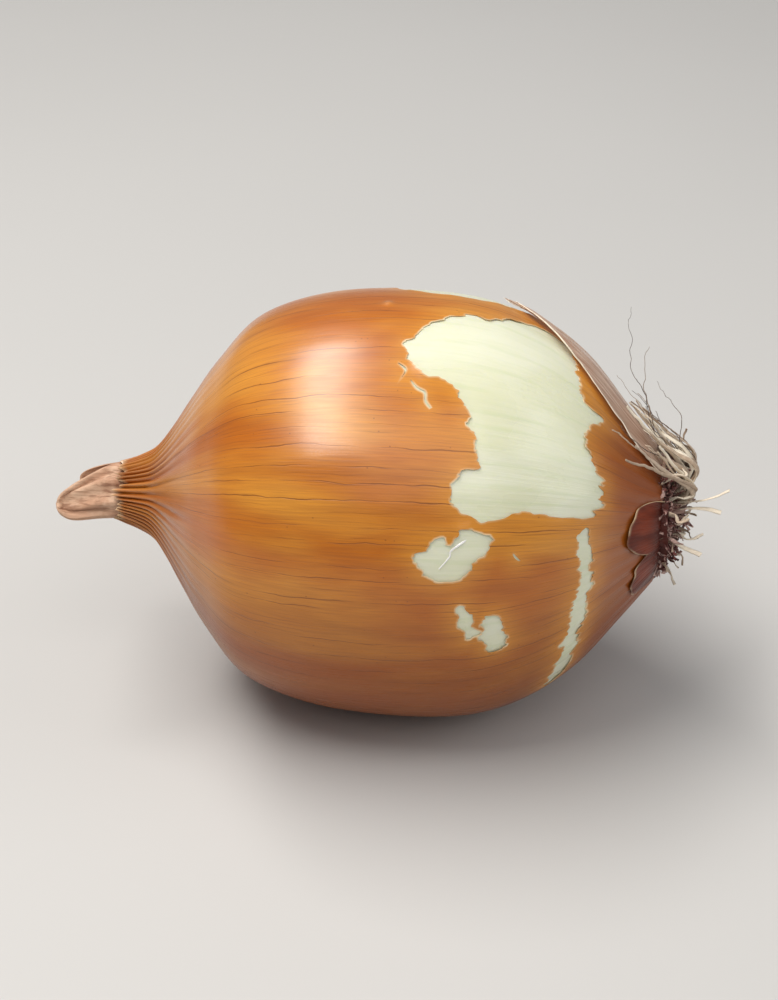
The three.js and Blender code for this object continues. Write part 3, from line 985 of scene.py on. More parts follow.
# %% The unrolled sheet
JOIN_DISTANCE = 1e-6


def inside(path, points):
    """Which points lie inside a closed path, by counting the sides that a ray crosses."""
    crossings = np.zeros(len(points), bool)
    for (ax, ay), (bx, by) in zip(path, np.roll(path, -1, axis=0)):
        if ay == by:
            continue
        between = (ay > points[:, 1]) != (by > points[:, 1])
        reach = (bx - ax) * (points[:, 1] - ay) / (by - ay) + ax
        crossings ^= between & (points[:, 0] < reach)
    return crossings


def in_no_tear(points):
    return ~np.any([inside(path, points) for path in tear_paths], axis=0)


starts = np.cumsum([0, *[len(path) for path in tear_paths]])
fixed = [
    (int(start + i), int(start + (i + 1) % (end - start)))
    for start, end in zip(starts, starts[1:])
    for i in range(end - start)
]
flat_points = np.concatenate([torn, loose[in_no_tear(loose)]])
joined = delaunay_2d_cdt([Vector(point) / MM for point in flat_points], fixed, [], 0, JOIN_DISTANCE)
flat_points = np.array([tuple(point) for point in joined[0]]) * MM
triangles = np.array([face for face in joined[2] if len(face) == 3])
triangles = triangles[in_no_tear(flat_points[triangles].mean(axis=1))]
print("unrolled skin:", len(flat_points), "points,", len(triangles), "triangles")

# %% [markdown]
# ### Pleats, ripples and lifted edges
# The collar's pleats are rounded on top and sharp in their depths, as gathered paper is, so they follow
# the size of a cosine and not the cosine itself. They differ in strength and run out over the shoulder
# at different lengths. Beside each tear the sheet lifts, more in some places than in others.

# %% Heights over the bulb
PLEATS = 50
PLEAT_STRETCH = 1.7
PLEAT_STRAY = 6 * MM
PLEAT_EASE = 1.4
PLEAT_STRENGTH = 0.85
PLEAT_SPREAD = 0.5
RIPPLE = 0.1 * MM
FOOT_FOLDS = 38
FOOT_FOLD_DEPTH = 0.14 * MM
FOOT_FOLD_ALONG = (24 * MM, 38 * MM)
PIMPLE_HEIGHT = 0.3 * MM
LIP_CLOSING = 0.9 * MM
LIP_REACH = 4 * MM
LIP_RAG = 1.5 * MM
FOOT_RAG = 0.6 * MM
FOOT_REACH = 3 * MM


def pleat_shape(along, angle):
    """Pleats from -0.5 in the depths to 0.5 on the ridges, and how strong they are there."""
    ring = round_the_axis(along, angle) * (1, 1, 0)
    start = PLEAT_START + PLEAT_STRAY * noise_at(ring, 7.0, 3)
    gathered = smoothstep(start - along, 0, start - PLEAT_END) ** PLEAT_EASE
    strength = gathered * (PLEAT_STRENGTH + PLEAT_SPREAD * noise_at(ring, 4.0, 5))
    warped = angle + 0.05 * np.sin(3 * angle + 0.4) + 0.025 * np.sin(7 * angle + 2)
    warped = warped + 0.03 * np.sin(along / (4 * MM) + 3 * angle) * strength
    return np.abs(np.cos(PLEATS / 2 * warped)) - 0.5, strength


along, angle = flat_points[:, 0], flat_points[:, 1] / MAP_RADIUS
place = round_the_axis(along, angle)
pleat, strength = pleat_shape(along, angle)
foot = smoothstep(along, *FOOT_FOLD_ALONG)
foot_fold = FOOT_FOLD_DEPTH * foot * np.cos(FOOT_FOLDS * angle + 2 * np.sin(4 * angle))
ripple = RIPPLE * noise_at(place * (7, 7, 1.6), 1.0, 1) * (1 - 0.5 * strength)
bump = np.exp(-np.sum((flat_points - pimple) ** 2, axis=1) / PIMPLE_RADIUS ** 2)
lip_share = np.clip(1 - (along - LIP) / LIP_REACH, 0, 1) ** 2
foot_share = np.clip(1 - (ROOT_OPENING - along) / FOOT_REACH, 0, 1) ** 2
height = bulb_radius(along) + unevenness(along, angle) + ripple + foot_fold
pleat_height = PLEAT_STRETCH * PLEAT_DEPTH * strength * pleat
height = height + pleat_height + PIMPLE_HEIGHT * bump - LIP_CLOSING * lip_share
frayed_along = along + LIP_RAG * lip_share * (noise_at(place * (8, 8, 0), 1.0, 8) - 0.4 * pleat)
frayed_along = frayed_along + FOOT_RAG * foot_share * noise_at(place * (6, 6, 0), 1.0, 9)
print("pleats up to", round(float(np.ptp(pleat_height)) / MM, 2), "mm deep")

# %% Roll the sheet on to the bulb
LIFT = 0.2 * MM
LIFT_REACH = 2.2 * MM
RIM_WIDTH = 0.24 * MM
LIP_RIM = 0.7 * MM
LIP_RIM_SHARE = 0.6
PIMPLE_SHARE = 0.6
NEAR_TEAR = 5 * MM
DOUBLES = 0.002 * MM

torn_spots = polar(torn[:, 0], torn[:, 1] / MAP_RADIUS, bulb_radius(torn[:, 0]))
edge_distance, edge_index = nearest(torn_spots, polar(along, angle, bulb_radius(along)))
edge_strength = np.clip(0.3 + 1.2 * noise_at(torn_spots, 260.0, 4), 0, 1)
edge_strength[starts[len(TEARS)] :] = 0
lift = LIFT * edge_strength[edge_index] * np.clip(1 - edge_distance / LIFT_REACH, 0, 1) ** 2
rolled = polar(frayed_along, angle, height + lift)
rolled[:, 2] = np.maximum(rolled[:, 2], 0)
rim_noise = np.clip(0.45 + 1.3 * noise_at(torn_spots, 420.0, 6), 0.0, 1)[edge_index]
tear_rim = rim_noise * np.clip(1 - edge_distance / RIM_WIDTH, 0, 1)
lip_rim = LIP_RIM_SHARE * np.clip(1 - (along - LIP) / LIP_RIM, 0, 1)

skin = piece_from("skin", rolled, triangles[:, ::-1].tolist())
mark(skin.data, "place", place)
mark(skin.data, "rim", np.maximum(lip_rim, tear_rim))
mark(skin.data, "pimple", PIMPLE_SHARE * bump)
mark(skin.data, "near_tear", np.clip(1 - edge_distance / NEAR_TEAR, 0, 1) ** 2)
# The fold mark carries painted light on the pleats' ridges and painted shade in their depths.
mark(skin.data, "fold", np.clip(2 * pleat * strength, -1, 1))
work = bmesh.new()
work.from_mesh(skin.data)
bmesh.ops.remove_doubles(work, verts=work.verts, dist=DOUBLES)
loose_points = [vert for vert in work.verts if not vert.link_faces]
bmesh.ops.delete(work, geom=loose_points, context="VERTS")
work.to_mesh(skin.data)
work.free()
walled(skin, SKIN_WALL)
finished(skin, "dry_skin", skin_finish)

# %% [markdown]
# ## The loose film
# A film of the outermost skin has come off over the top near the roots. It is thin enough to see the
# bulb through it, and its free edge has dried to a bright thread. It could be a lifted patch of the skin,
# but it has its own place and its own finish, so it is a sheet of its own: a grid is laid over a rule that
# ripples it and keeps it a little off the skin. The scales and the flap behind the neck use the same
# helper, which marks how near the edge each point is. The wall comes from Solidify.

# %% Sheet helper
NO_RIM = 0


def noise_over(u, v, seed):
    """Smooth noise over a sheet."""
    return noise_at(np.stack([u, v, 0 * u], axis=-1), 1.0, seed)


def sheet_piece(name, rule, steps, thickness, rims):
    """A thin sheet: rule gives its points for shares u along it and v across it."""
    u, v = np.meshgrid(np.linspace(0, 1, steps[0] + 1), np.linspace(0, 1, steps[1] + 1), indexing="ij")
    piece = piece_from(name, rule(u, v), grid_faces(steps[0] + 1, steps[1] + 1))
    edge = np.min([share / rim for share, rim in zip((u, 1 - u, v, 1 - v), rims) if rim], axis=0)
    mark(piece.data, "rim", np.clip(1 - edge, 0, 1).ravel())
    mark(piece.data, "shade", np.zeros(edge.size))
    mark_round_the_axis(piece.data)
    return walled(piece, thickness)


middle = np.array(0.5)
print("noise in the middle of a sheet:", np.round(noise_over(middle, middle, 2), 2))

# %% Loose film
# Where it starts and ends along the axis, in millimetres, and its edges at both ends, in degrees up
FILM_ALONG = (16, 39.8)
FILM_LOW = (74, 33)
FILM_HIGH = (97, 88)
FILM_STAND = 0.5 * MM
FILM_WAVE = 0.4 * MM
FILM_NARROWING = 0.3
FILM_FRAY = 0.09
FILM_FINE_FRAY = 0.05
FILM_RAG = 2.4 * MM
FILM_CURL = 0.5 * MM
FILM_CURL_SHARE = 0.18
FILM_END_LIFT = 0.2 * MM
FILM_WALL = 0.08 * MM
FILM_STEPS = (84, 64)
FILM_RIMS = (0.012, NO_RIM, 0.02, 0.015)


def from_to(ends, share):
    return ends[0] + (ends[1] - ends[0]) * share


def film_rule(u, v):
    low, high = from_to(FILM_LOW, u), from_to(FILM_HIGH, u)
    middle, half = (low + high) / 2, (high - low) / 2
    fray = FILM_FRAY * noise_over(u * 5, v * 2, 2) + FILM_FINE_FRAY * noise_over(u * 19, v * 2, 7)
    full = 1 - FILM_NARROWING * (1 - u) ** 3 + fray
    angle = up_from_torn_side(middle + (2 * v - 1) * half * full)
    torn_off = noise_over(v * 4, 0 * u, 3) + 0.6 * noise_over(v * 17, 0 * u, 9)
    along = from_to(FILM_ALONG, u) * MM + FILM_RAG * torn_off * (1 - u) ** 2
    wave = FILM_WAVE * noise_over(u * 3, v * 6, 5)
    curl = FILM_CURL * np.clip(1 - v / FILM_CURL_SHARE, 0, 1) ** 2
    stand = FILM_STAND + wave * (1 - 0.5 * u) + curl + FILM_END_LIFT * (1 - u) ** 3
    return polar(along, angle, bulb_radius(along) + unevenness(along, angle) + stand)


film = sheet_piece("loose_film_sheet", film_rule, FILM_STEPS, FILM_WALL, FILM_RIMS)
finished(film, "loose_film", papery_film)

# %% [markdown]
# ## The dark scales at the foot
# Where the skin meets the roots, dark dry scales are folded against the plate. They shine like varnish
# and have a thin bright edge. They could be painted on the skin, but their edges stand off it and throw a
# shadow. Two overlapping lobes are enough, the second half hidden by the first.

# %% Foot scales
# Millimetres along the axis, degrees up from the middle of the torn side, millimetres off the skin
SCALES = [
    {"along": (33.6, 40.4), "up": (-32, 12), "stand": 0.3, "seed": 1},
    {"along": (34.8, 40.6), "up": (-68, -22), "stand": 0.15, "seed": 2},
]
SCALE_ROUNDING = 0.97
SCALE_FRAY = 0.16
SCALE_SLANT = 0.1
SCALE_WAVE = 0.3
SCALE_END_LIFT = 0.2
SCALE_WALL = 0.1 * MM
SCALE_STEPS = (34, 44)
SCALE_RIMS = (0.05, NO_RIM, NO_RIM, NO_RIM)


def scale_rule(size):
    def rule(u, v):
        across = 2 * v - 1
        fray = SCALE_FRAY * noise_over(v * 5, 0 * u, size["seed"])
        lobe = 1 - np.sqrt(1 - (SCALE_ROUNDING * across) ** 2) + fray + SCALE_SLANT * (1 + across)
        along = from_to(size["along"], lobe + (1 - lobe) * u) * MM
        angle = up_from_torn_side(np.mean(size["up"]) + np.ptp(size["up"]) / 2 * across)
        wave = SCALE_WAVE * noise_over(u * 2, v * 5, size["seed"] + 4)
        stand = (size["stand"] + wave + SCALE_END_LIFT * (1 - u) ** 3) * MM
        return polar(along, angle, bulb_radius(along) + stand)

    return rule


for number, size in enumerate(SCALES, 1):
    scale = sheet_piece(f"foot_scale_{number}", scale_rule(size), SCALE_STEPS, SCALE_WALL, SCALE_RIMS)
    finished(scale, "foot_scale", dark_scale)

# %% [markdown]
# ## The dried neck
# The leaves above the bulb have dried into one flattened tongue with a rolled rim and a hollow face.
# It could be sculpted by hand, but a rule can be changed later. It is a closed skin of rings: each ring
# starts as an ellipse, the face is pressed in except along the rim, and the whole tongue droops and turns
# towards the torn side as it leaves the collar. A smaller dry flap shows behind it.

# %% Neck leaf
# Share of the neck's length from the bulb, half its width in millimetres
NECK_OUTLINE = [
    (0, 3.6), (0.28, 3.65), (0.38, 4), (0.5, 3.8), (0.8, 2.8), (0.93, 1.8), (0.985, 0.9), (1, 0.05),
]
NECK_RINGS = 90
NECK_SIDES = 96
NECK_FREE_FROM = 0.35
NECK_FLATTENING = 0.5
NECK_DROOP = 2.5 * MM
NECK_TURN = 2 * MM
NECK_RIM = 0.55 * MM
NECK_HOLLOW = 1.1 * MM
NECK_THIN = 1.2 * MM
NECK_WRINKLE = 0.28 * MM
NECK_FOLDS = 9
NECK_FOLD = 0.1

facing = outward(math.radians(TORN_SIDE))
upright = outward(math.radians(TORN_SIDE - 90))
neck_length = NECK_FOOT - NECK_TIP
neck_curve = smooth_path(NECK_OUTLINE, 12) * (1, MM)


def off_the_axis(along, depth, rise):
    """Points at a depth towards the torn side and a rise square to it."""
    points = depth[..., None] * facing + rise[..., None] * upright
    points[..., 0] = along
    points[..., 2] += AXIS_HEIGHT
    return points


def neck_points(share, turn):
    """Points of the tongue, and how far its face is pressed in there."""
    free = smoothstep(share, NECK_FREE_FROM, 1)
    folds = 1 + NECK_FOLD * np.cos(NECK_FOLDS * turn + 2.5 * share) * smoothstep(share, 0.1, 0.5)
    half_width = np.interp(share, neck_curve[:, 0], neck_curve[:, 1]) * folds
    half_depth = half_width * (1 - NECK_FLATTENING * free)
    width = half_width * np.sign(np.cos(turn)) * np.abs(np.cos(turn)) ** 0.8
    to_edge = np.minimum(half_width - np.abs(width), (1 - share) * neck_length * 0.8)
    pressed = NECK_HOLLOW * free ** 0.5 * smoothstep(to_edge, NECK_RIM * 0.5, NECK_RIM * 1.8)
    spots = np.stack([width * 900, share * 2.2 + 0 * width, np.sin(turn)], axis=-1)
    wrinkle = NECK_WRINKLE * noise_at(spots, 1.0, 2) * free
    depth = half_depth * np.sin(turn) - pressed * (np.sin(turn) > 0) * np.minimum(1, half_depth / NECK_THIN)
    depth = depth + wrinkle + NECK_TURN * free
    rise = width + 0.4 * wrinkle - NECK_DROOP * free
    return off_the_axis(NECK_FOOT - share * neck_length, depth, rise), pressed / NECK_HOLLOW


share, turn = np.meshgrid(
    np.linspace(0, 1, NECK_RINGS) ** 0.9,
    np.linspace(0, math.tau, NECK_SIDES, endpoint=False),
    indexing="ij",
)
points, pressed = neck_points(share, turn)
faces = grid_faces(NECK_RINGS, NECK_SIDES, closed=True)
faces.append(tuple(range(NECK_SIDES))[::-1])
faces.append(tuple(range((NECK_RINGS - 1) * NECK_SIDES, NECK_RINGS * NECK_SIDES)))
neck = outward_faces(piece_from("neck_leaf", points, faces))
neck.data.shade_smooth()
mark(neck.data, "rim", (1 - pressed).ravel() * smoothstep(share, 0.4, 0.6).ravel())
mark(neck.data, "shade", np.clip(0.8 - 2.2 * share, 0, 0.8).ravel())
mark_round_the_axis(neck.data)
finished(neck, "dried_neck", dry_leaf)

# %% The flap behind the neck
# Shares of the neck's length
FLAP_START = 0.2
FLAP_REACH = 0.6
FLAP_FRAY = 0.03
FLAP_ROUNDING = 0.96
FLAP_RISE = 2.4 * MM
FLAP_HALF_WIDTH = 2.8 * MM
FLAP_DROOP = 0.9 * MM
FLAP_BACK = 1.9 * MM
FLAP_TURN = 1.2 * MM
FLAP_BOW = 1.1 * MM
FLAP_OPENING = 0.4
FLAP_WALL = 0.15 * MM
FLAP_STEPS = (30, 34)
FLAP_RIMS = (NO_RIM, 0.06, NO_RIM, NO_RIM)
FLAP_SHADE = 0.55


def flap_rule(u, v):
    across = 2 * v - 1
    fray = FLAP_FRAY * noise_over(v * 4, u * 2, 11)
    lobe = FLAP_REACH * np.sqrt(1 - (FLAP_ROUNDING * across) ** 2) + fray
    reach = (FLAP_START + u * lobe) * neck_length
    rise = FLAP_RISE + FLAP_HALF_WIDTH * across - FLAP_DROOP * u
    bow = FLAP_BOW * np.cos(np.pi / 2 * across) * (1 - FLAP_OPENING * u)
    depth = FLAP_TURN * u - FLAP_BACK - bow
    return off_the_axis(NECK_FOOT - reach, depth, rise)


flap = sheet_piece("neck_flap", flap_rule, FLAP_STEPS, FLAP_WALL, FLAP_RIMS)
mark(flap.data, "shade", np.full(len(flap.data.vertices), FLAP_SHADE))
finished(flap, "dried_neck", dry_leaf)

# %% [markdown]
# ## The root plate
# The roots grow from a corky, dark plate. It is turned on the same lathe as the flesh, then broken up by
# noise, since no part of it is smooth. A bump in the finish would do for the plate's face, but its rough
# outline shows beside the skin, so the noise moves the mesh itself.

# %% Basal plate
PLATE_RADIUS = 8.9 * MM
PLATE_DOME = 4 * MM
PLATE_CRUST = 0.55 * MM
PLATE_STEPS = (70, 120)
CRUST_FROM = PLATE_FOOT + 0.2 * MM

bow = np.linspace(0, np.pi / 2, 40)
dome = np.stack([PLATE_FOOT + PLATE_DOME * np.sin(bow), PLATE_RADIUS * np.cos(bow), 0 * bow], axis=-1)
dome[-1, 1] = 0
plate_line = np.concatenate([[(PLATE_FOOT, 0, 0)], dome])
plate = turned("root_plate", plate_line, PLATE_STEPS, 0.0, root_plate)
points = points_of(plate.data)
normals = np.array([tuple(vert.normal) for vert in plate.data.vertices])
crust = noise_at(points, 900.0, 1) + 0.6 * noise_at(points, 2100.0, 2)
move_points(plate.data, points + normals * (PLATE_CRUST * crust * (points[:, 0] > CRUST_FROM))[:, None])
plate.data.shade_smooth()
finished(plate, "root_tuft", root_plate)

# %% [markdown]
# ## Strands made of nodes
# Roots, hairs and the film's thread are all thin strands along a path. Blender's hair would be quick, but
# a hair is no mesh, so it would be lost when the onion is handed on. The node tree below takes chains of a
# few points, bends a smooth curve through each, makes it wander, and sweeps a flat section along it that
# twists and tapers. Marks on the chains give each strand its own tint and stoutness.

# %% The strand tree
STRAND_SIDES = 6

tree, given, put = new_group(
    "dry_strands",
    "GeometryNodeTree",
    {"strands": "Geometry"},
    paths="Geometry",
    spacing=0.5 * MM,
    thickness=0.4 * MM,
    tip_share=0.3,
    flatness=0.45,
    wander=1.0 * MM,
    wander_scale=300.0,
    twist=5.0,
    finish="Material",
)
tint = tree.add("GeometryNodeInputNamedAttribute", {"Name": "tint"}, data_type="FLOAT").outputs[0]
stout = tree.add("GeometryNodeInputNamedAttribute", {"Name": "stoutness"}, data_type="FLOAT").outputs[0]
curves = tree.add("GeometryNodeMeshToCurve", {"Mesh": given["Paths"]}).outputs[0]
curves = tree.add("GeometryNodeCurveSplineType", {"Curve": curves}, spline_type="CATMULL_ROM").outputs[0]
even = {"Curve": curves, "Length": given["Spacing"]}
curves = tree.add("GeometryNodeResampleCurve", even, mode="LENGTH").outputs[0]
share = tree.add("GeometryNodeSplineParameter").outputs["Factor"]
spot = tree.add("GeometryNodeInputPosition").outputs[0]
apart = tree.vector("ADD", tree.scaled(spot, given["Wander Scale"]), tree.scaled((3.1, 5.7, 9.3), tint))
push = tree.add("ShaderNodeTexNoise", {"Vector": apart, "Scale": 1.0, "Detail": 2.0}).outputs["Color"]
push = tree.vector("SUBTRACT", push, (0.5, 0.5, 0.5))
push = tree.scaled(push, tree.math("MULTIPLY", given["Wander"], share))
curves = tree.add("GeometryNodeSetPosition", {"Geometry": curves, "Offset": push}).outputs[0]
tilt = tree.math("MULTIPLY", given["Twist"], tree.math("ADD", share, tree.math("MULTIPLY", tint, 3.0)))
curves = tree.add("GeometryNodeSetCurveTilt", {"Curve": curves, "Tilt": tilt}).outputs[0]
section = {"Resolution": STRAND_SIDES, "Radius": 1.0}
ring = tree.add("GeometryNodeCurvePrimitiveCircle", section, mode="RADIUS").outputs[0]
flat = tree.joined(1.0, given["Flatness"], 1.0)
ring = tree.add("GeometryNodeTransform", {"Geometry": ring, "Scale": flat}).outputs[0]
lost = tree.math("MULTIPLY", tree.math("SUBTRACT", 1.0, given["Tip Share"]), share)
taper = tree.math("MULTIPLY", stout, tree.math("SUBTRACT", 1.0, lost))
size = tree.math("MULTIPLY", taper, given["Thickness"])
along_it = {"Curve": curves, "Profile Curve": ring, "Scale": size, "Fill Caps": True}
swept = tree.add("GeometryNodeCurveToMesh", along_it).outputs[0]
smooth = tree.add("GeometryNodeSetShadeSmooth", {"Geometry": swept}).outputs[0]
real = tree.add("GeometryNodeRealizeInstances", {"Geometry": smooth}).outputs[0]
done = tree.add("GeometryNodeSetMaterial", {"Geometry": real, "Material": given["Finish"]}).outputs[0]
tree.feed(put, strands=done)
dry_strands = tree.tree
print("strand inputs:", [item.name for item in dry_strands.interface.items_tree])

# %% [markdown]
# ## The roots
# Short stubs cover the plate in a mat, longer roots tangle over it, and a bundle of long pale ribbons is
# swept up and back over the bulb's shoulder. Each could be drawn by hand, but there are hundreds, so a
# rule with a fixed seed works out their paths. A path that would run into the bulb is pushed out to its
# surface.

# %% Root paths
ROOT_SEED = 7
ROOT_REACH = cad_high.x
random = np.random.default_rng(ROOT_SEED)


def strands(name, lines, node, slot, finish, tint=(1, 1), stoutness=(0.6, 1.2), **values):
    """Grows one strand along each line, and gives the lot its finish."""
    marks = {"tint": random.uniform(*tint, len(lines)), "stoutness": random.uniform(*stoutness, len(lines))}
    paths = chains(f"{name}_paths", lines, marks)
    finished(grown(name, dry_strands, paths, finish=finish, **values), node, finish)


def plate_surface(radius):
    return PLATE_FOOT + PLATE_DOME * np.sqrt(np.maximum(0, 1 - (radius / PLATE_RADIUS) ** 2))


def clear_of_bulb(point, clearance):
    """Pushes a point behind the root opening out to the bulb's surface."""
    angle, radius = angle_and_radius(point)
    least = float(bulb_radius(point[0])) + clearance
    if point[0] > PLATE_FOOT or radius >= least:
        return point
    return polar(point[0], angle, least)


def laid_on_bulb(points, clearance):
    """Smooths a path and keeps all of it clear of the bulb."""
    return np.array([clear_of_bulb(point, clearance) for point in smooth_path(points, 5)])


print("roots reach", round(ROOT_REACH / MM, 1), "mm along")

# %% Mat and tangle
GOLDEN_ANGLE = math.pi * (3 - math.sqrt(5))
FULLER_SIDE = float(up_from_torn_side(75))
TANGLE_SUNK = 0.8 * MM
TANGLE_LEAN = math.radians(62)
TANGLE_BACK = (0.3, 0, 0)
TANGLE_CLEARANCE = 1.8 * MM
# How many roots, shortest and longest in millimetres, how they curl, and their share of the plate
STUBS = (230, (1.2, 3.8), 2.2, 0.97)
TANGLE = (30, (3.0, 6.5), 2.0, 0.9)


def one_way(way):
    return way / np.linalg.norm(way)


def tangled_path(share, turn, length, curl):
    """A root that leaves the plate, bends over and curls."""
    radius = share * PLATE_RADIUS
    lean = share * TANGLE_LEAN
    start = polar(plate_surface(radius) - TANGLE_SUNK, turn, radius)
    away = outward(turn) * math.sin(lean) + np.array([math.cos(lean), 0, 0])
    bend = start + away * (TANGLE_SUNK + length / 2)
    way = away + curl * (random.random(3) - 0.5) - TANGLE_BACK
    middle = bend + one_way(way) * length * 0.3
    way = way + curl * (random.random(3) - 0.5)
    tip = middle + one_way(way) * length * 0.35
    tip[0] = min(tip[0], ROOT_REACH)
    return laid_on_bulb([start, bend, middle, tip], TANGLE_CLEARANCE)


def mat_of_roots(count, length, curl, spread):
    """Roots spread evenly over the plate, most of them short, and longer on one side."""
    lines = []
    for i in range(count):
        reach = from_to(length, random.random() ** 1.6)
        share = spread * math.sqrt((i + 0.5) / count)
        turn = i * GOLDEN_ANGLE
        reach = reach * (0.85 + 0.4 * share * math.cos(turn - FULLER_SIDE))
        lines.append(tangled_path(share, turn, reach * MM, curl))
    return lines


curly = {
    "spacing": 0.45 * MM,
    "thickness": 0.45 * MM,
    "tip_share": 0.45,
    "flatness": 0.4,
    "wander": 1.6 * MM,
    "wander_scale": 420.0,
    "twist": 4.0,
}
strands("root_mat", mat_of_roots(*STUBS), "root_tuft", "root", root_plate, tint=(0.1, 1.0), **curly)
strands("root_tangle", mat_of_roots(*TANGLE), "root_tuft", "root", dry_root, tint=(0.25, 0.95), **curly)

# %% Swept bundle
SWEPT_COUNT = 26
SWEPT_MIDDLE = 58
SWEPT_FAN = 66
SWEPT_STRAY = math.radians(16)
SWEPT_SUNK = 0.6 * MM
# Where a root leaves the plate and where it turns over its edge, in shares of the plate's radius
SWEPT_START = (0.2, 0.6)
SWEPT_EDGE = (0.75, 1.1)
# How far it stands out there, how far it goes back, and how far its tip is off the bulb
SWEPT_OUT = (4.6 * MM, 6.8 * MM)
SWEPT_BACK = (4 * MM, 11.5 * MM)
SWEPT_TIP = (1.2 * MM, 4.6 * MM)
SWEPT_CLEARANCE = 1.3 * MM


def swept_path(spread):
    """A root that leaves the plate's middle, turns back over its edge and lies on the shoulder."""
    angle = float(up_from_torn_side(SWEPT_MIDDLE + SWEPT_FAN * spread))
    stray = angle + SWEPT_STRAY * (random.random() - 0.5)
    radius = PLATE_RADIUS * from_to(SWEPT_START, random.random())
    start = polar(plate_surface(radius) - SWEPT_SUNK, angle, radius)
    reach = PLATE_FOOT + from_to(SWEPT_OUT, random.random())
    over = polar(reach, angle, PLATE_RADIUS * from_to(SWEPT_EDGE, random.random()))
    back = over[0] - from_to(SWEPT_BACK, random.random())
    tip = polar(back, stray, bulb_radius(back) + from_to(SWEPT_TIP, random.random()))
    return laid_on_bulb([start, over, (over + tip) / 2, tip], SWEPT_CLEARANCE)


ribbon = {"spacing": 0.5 * MM, "thickness": 0.5 * MM, "flatness": 0.22, "wander_scale": 330.0}
sweep = {**ribbon, "stoutness": (0.6, 1.3), "tip_share": 0.35, "wander": 1.6 * MM, "twist": 1.6}
swept = [swept_path(i / (SWEPT_COUNT - 1) - 0.5) for i in range(SWEPT_COUNT)]
strands("root_bundle", swept, "root_tuft", "root", dry_root, tint=(0.15, 1.1), **sweep)

# %% [markdown]
# ## Single roots and the film's thread
# A few roots stand apart from the rest: blunt pale ends that point away from the bulb, and thin dark
# hairs that stand up from the bundle. The film's free edge has dried into a bright thread. All of them
# are strands too. No rule would put the few that catch the eye in the right place, so their paths are
# listed one by one.

# %% Whiskers, hairs and film thread
# Millimetres along the axis, degrees up from the middle of the torn side, millimetres from the axis
WHISKERS = [
    [(41.5, 25, 4.5), (46, 20, 7.2), (49.4, 24, 9.8)],
    [(41.5, 10, 4), (45, 12, 5.6), (48.4, 6, 6.4)],
    [(40.5, -40, 5.5), (43.6, -42, 7.6), (45.6, -38, 9.4)],
]
HAIRS = [
    [(40, 62, 7), (36.5, 66, 17.5), (33.6, 74, 25), (34, 80, 31.5)],
    [(40, 60, 7), (37, 64, 17.5), (35.9, 70, 21.5), (36.3, 74, 26.5)],
    [(41, 66, 7), (42, 70, 15), (39.5, 76, 18), (37.6, 80, 20.5)],
]
HAIR_COUNT = 14
THREAD_POINTS = 60


def by_hand(paths):
    lines = [np.asarray(path, float) for path in paths]
    return [polar(line[:, 0] * MM, up_from_torn_side(line[:, 1]), line[:, 2] * MM) for line in lines]


blunt = {**ribbon, "tip_share": 0.7, "wander": 0.5 * MM, "twist": 1.0}
strands("root_whiskers", by_hand(WHISKERS), "root_tuft", "root", dry_root, tint=(0.85, 1.0), **blunt)

hairs = by_hand(HAIRS) + [swept_path(random.random() - 0.5) for _ in range(HAIR_COUNT)]
wiry = {"thickness": 0.12 * MM, "flatness": 1.0, "wander": 4.0 * MM, "wander_scale": 240.0, "twist": 0.0}
strands("root_hairs", hairs, "root_tuft", "root", dry_root, tint=(0.0, 0.3), **wiry)

edge = np.linspace(0.02, 0.98, THREAD_POINTS)[:, None]
rim_line = film_rule(edge, 0 * edge)[:, 0]
fine = {"spacing": 0.3 * MM, "thickness": 0.14 * MM, "tip_share": 0.6, "flatness": 0.6, "wander": 0.2 * MM}
strands("film_thread", [rim_line], "loose_film", "film", dry_root, **fine)

# %% [markdown]
# ## The wet crease
# Below the notch of the skin's small window a sharp streak of light runs over the flesh, as along a short
# wet crease. A line in the flesh's finish would stay flat from every side, so it is a low ridge, one more
# strand laid along the flesh. Its finish is wet, and its colour is a painted highlight, nearly white, so
# that the streak shows as brightly as it should under these lights.

# %% Crease in the small window
# Millimetres along the axis, degrees up from the middle of the torn side, millimetres off the flesh
CREASE = [
    (11.4, -8.5, -0.3), (10.4, -9.9, -0.06), (9.2, -11.6, -0.04), (9, -13.2, 0), (7.6, -16.4, 0.02),
]
# Painted highlight: the crease is coloured nearly white to stand for the streak of light.
PAINTED_HIGHLIGHT_WHITE = (0.96, 0.95, 0.92, 1)
WET = {"roughness": 0.12, "coat_weight": 1.0, "coat_roughness": 0.12}

wet_flesh_painted_highlight = new_finish("wet_flesh_painted_highlight", base_color=PAINTED_HIGHLIGHT_WHITE, **WET)[0]
crease_along, crease_up, crease_off = np.array(CREASE).T
crease_along = crease_along * MM
crease_angle = up_from_torn_side(crease_up)
flesh_radius = bulb_radius(crease_along) + unevenness(crease_along, crease_angle) - FLESH_DEPTH
crease = polar(crease_along, crease_angle, flesh_radius + crease_off * MM)
ridge = {"spacing": 0.2 * MM, "thickness": 0.24 * MM, "flatness": 1.0, "wander": 0.0, "tip_share": 0.4}
strands("flesh_crease", [crease], "flesh_bulb", "flesh", wet_flesh_painted_highlight, stoutness=(1, 1), **ridge)

# %% [markdown]
# ## The studio
# A plain pale floor that runs out of sight, a long soft light almost overhead and a little to the left,
# which draws the highlight across the bulb, a square one above the front, a weak one from the right for
# the roots, and a pale room. The camera looks down on the torn side from the front, a few degrees round
# towards the roots, so that their plate shows.

# %% Floor
FLOOR_COLOUR = (0.56, 0.555, 0.54, 1)
FLOOR_PALE = (0.60, 0.595, 0.58, 1)
FLOOR_HALF = 3.0

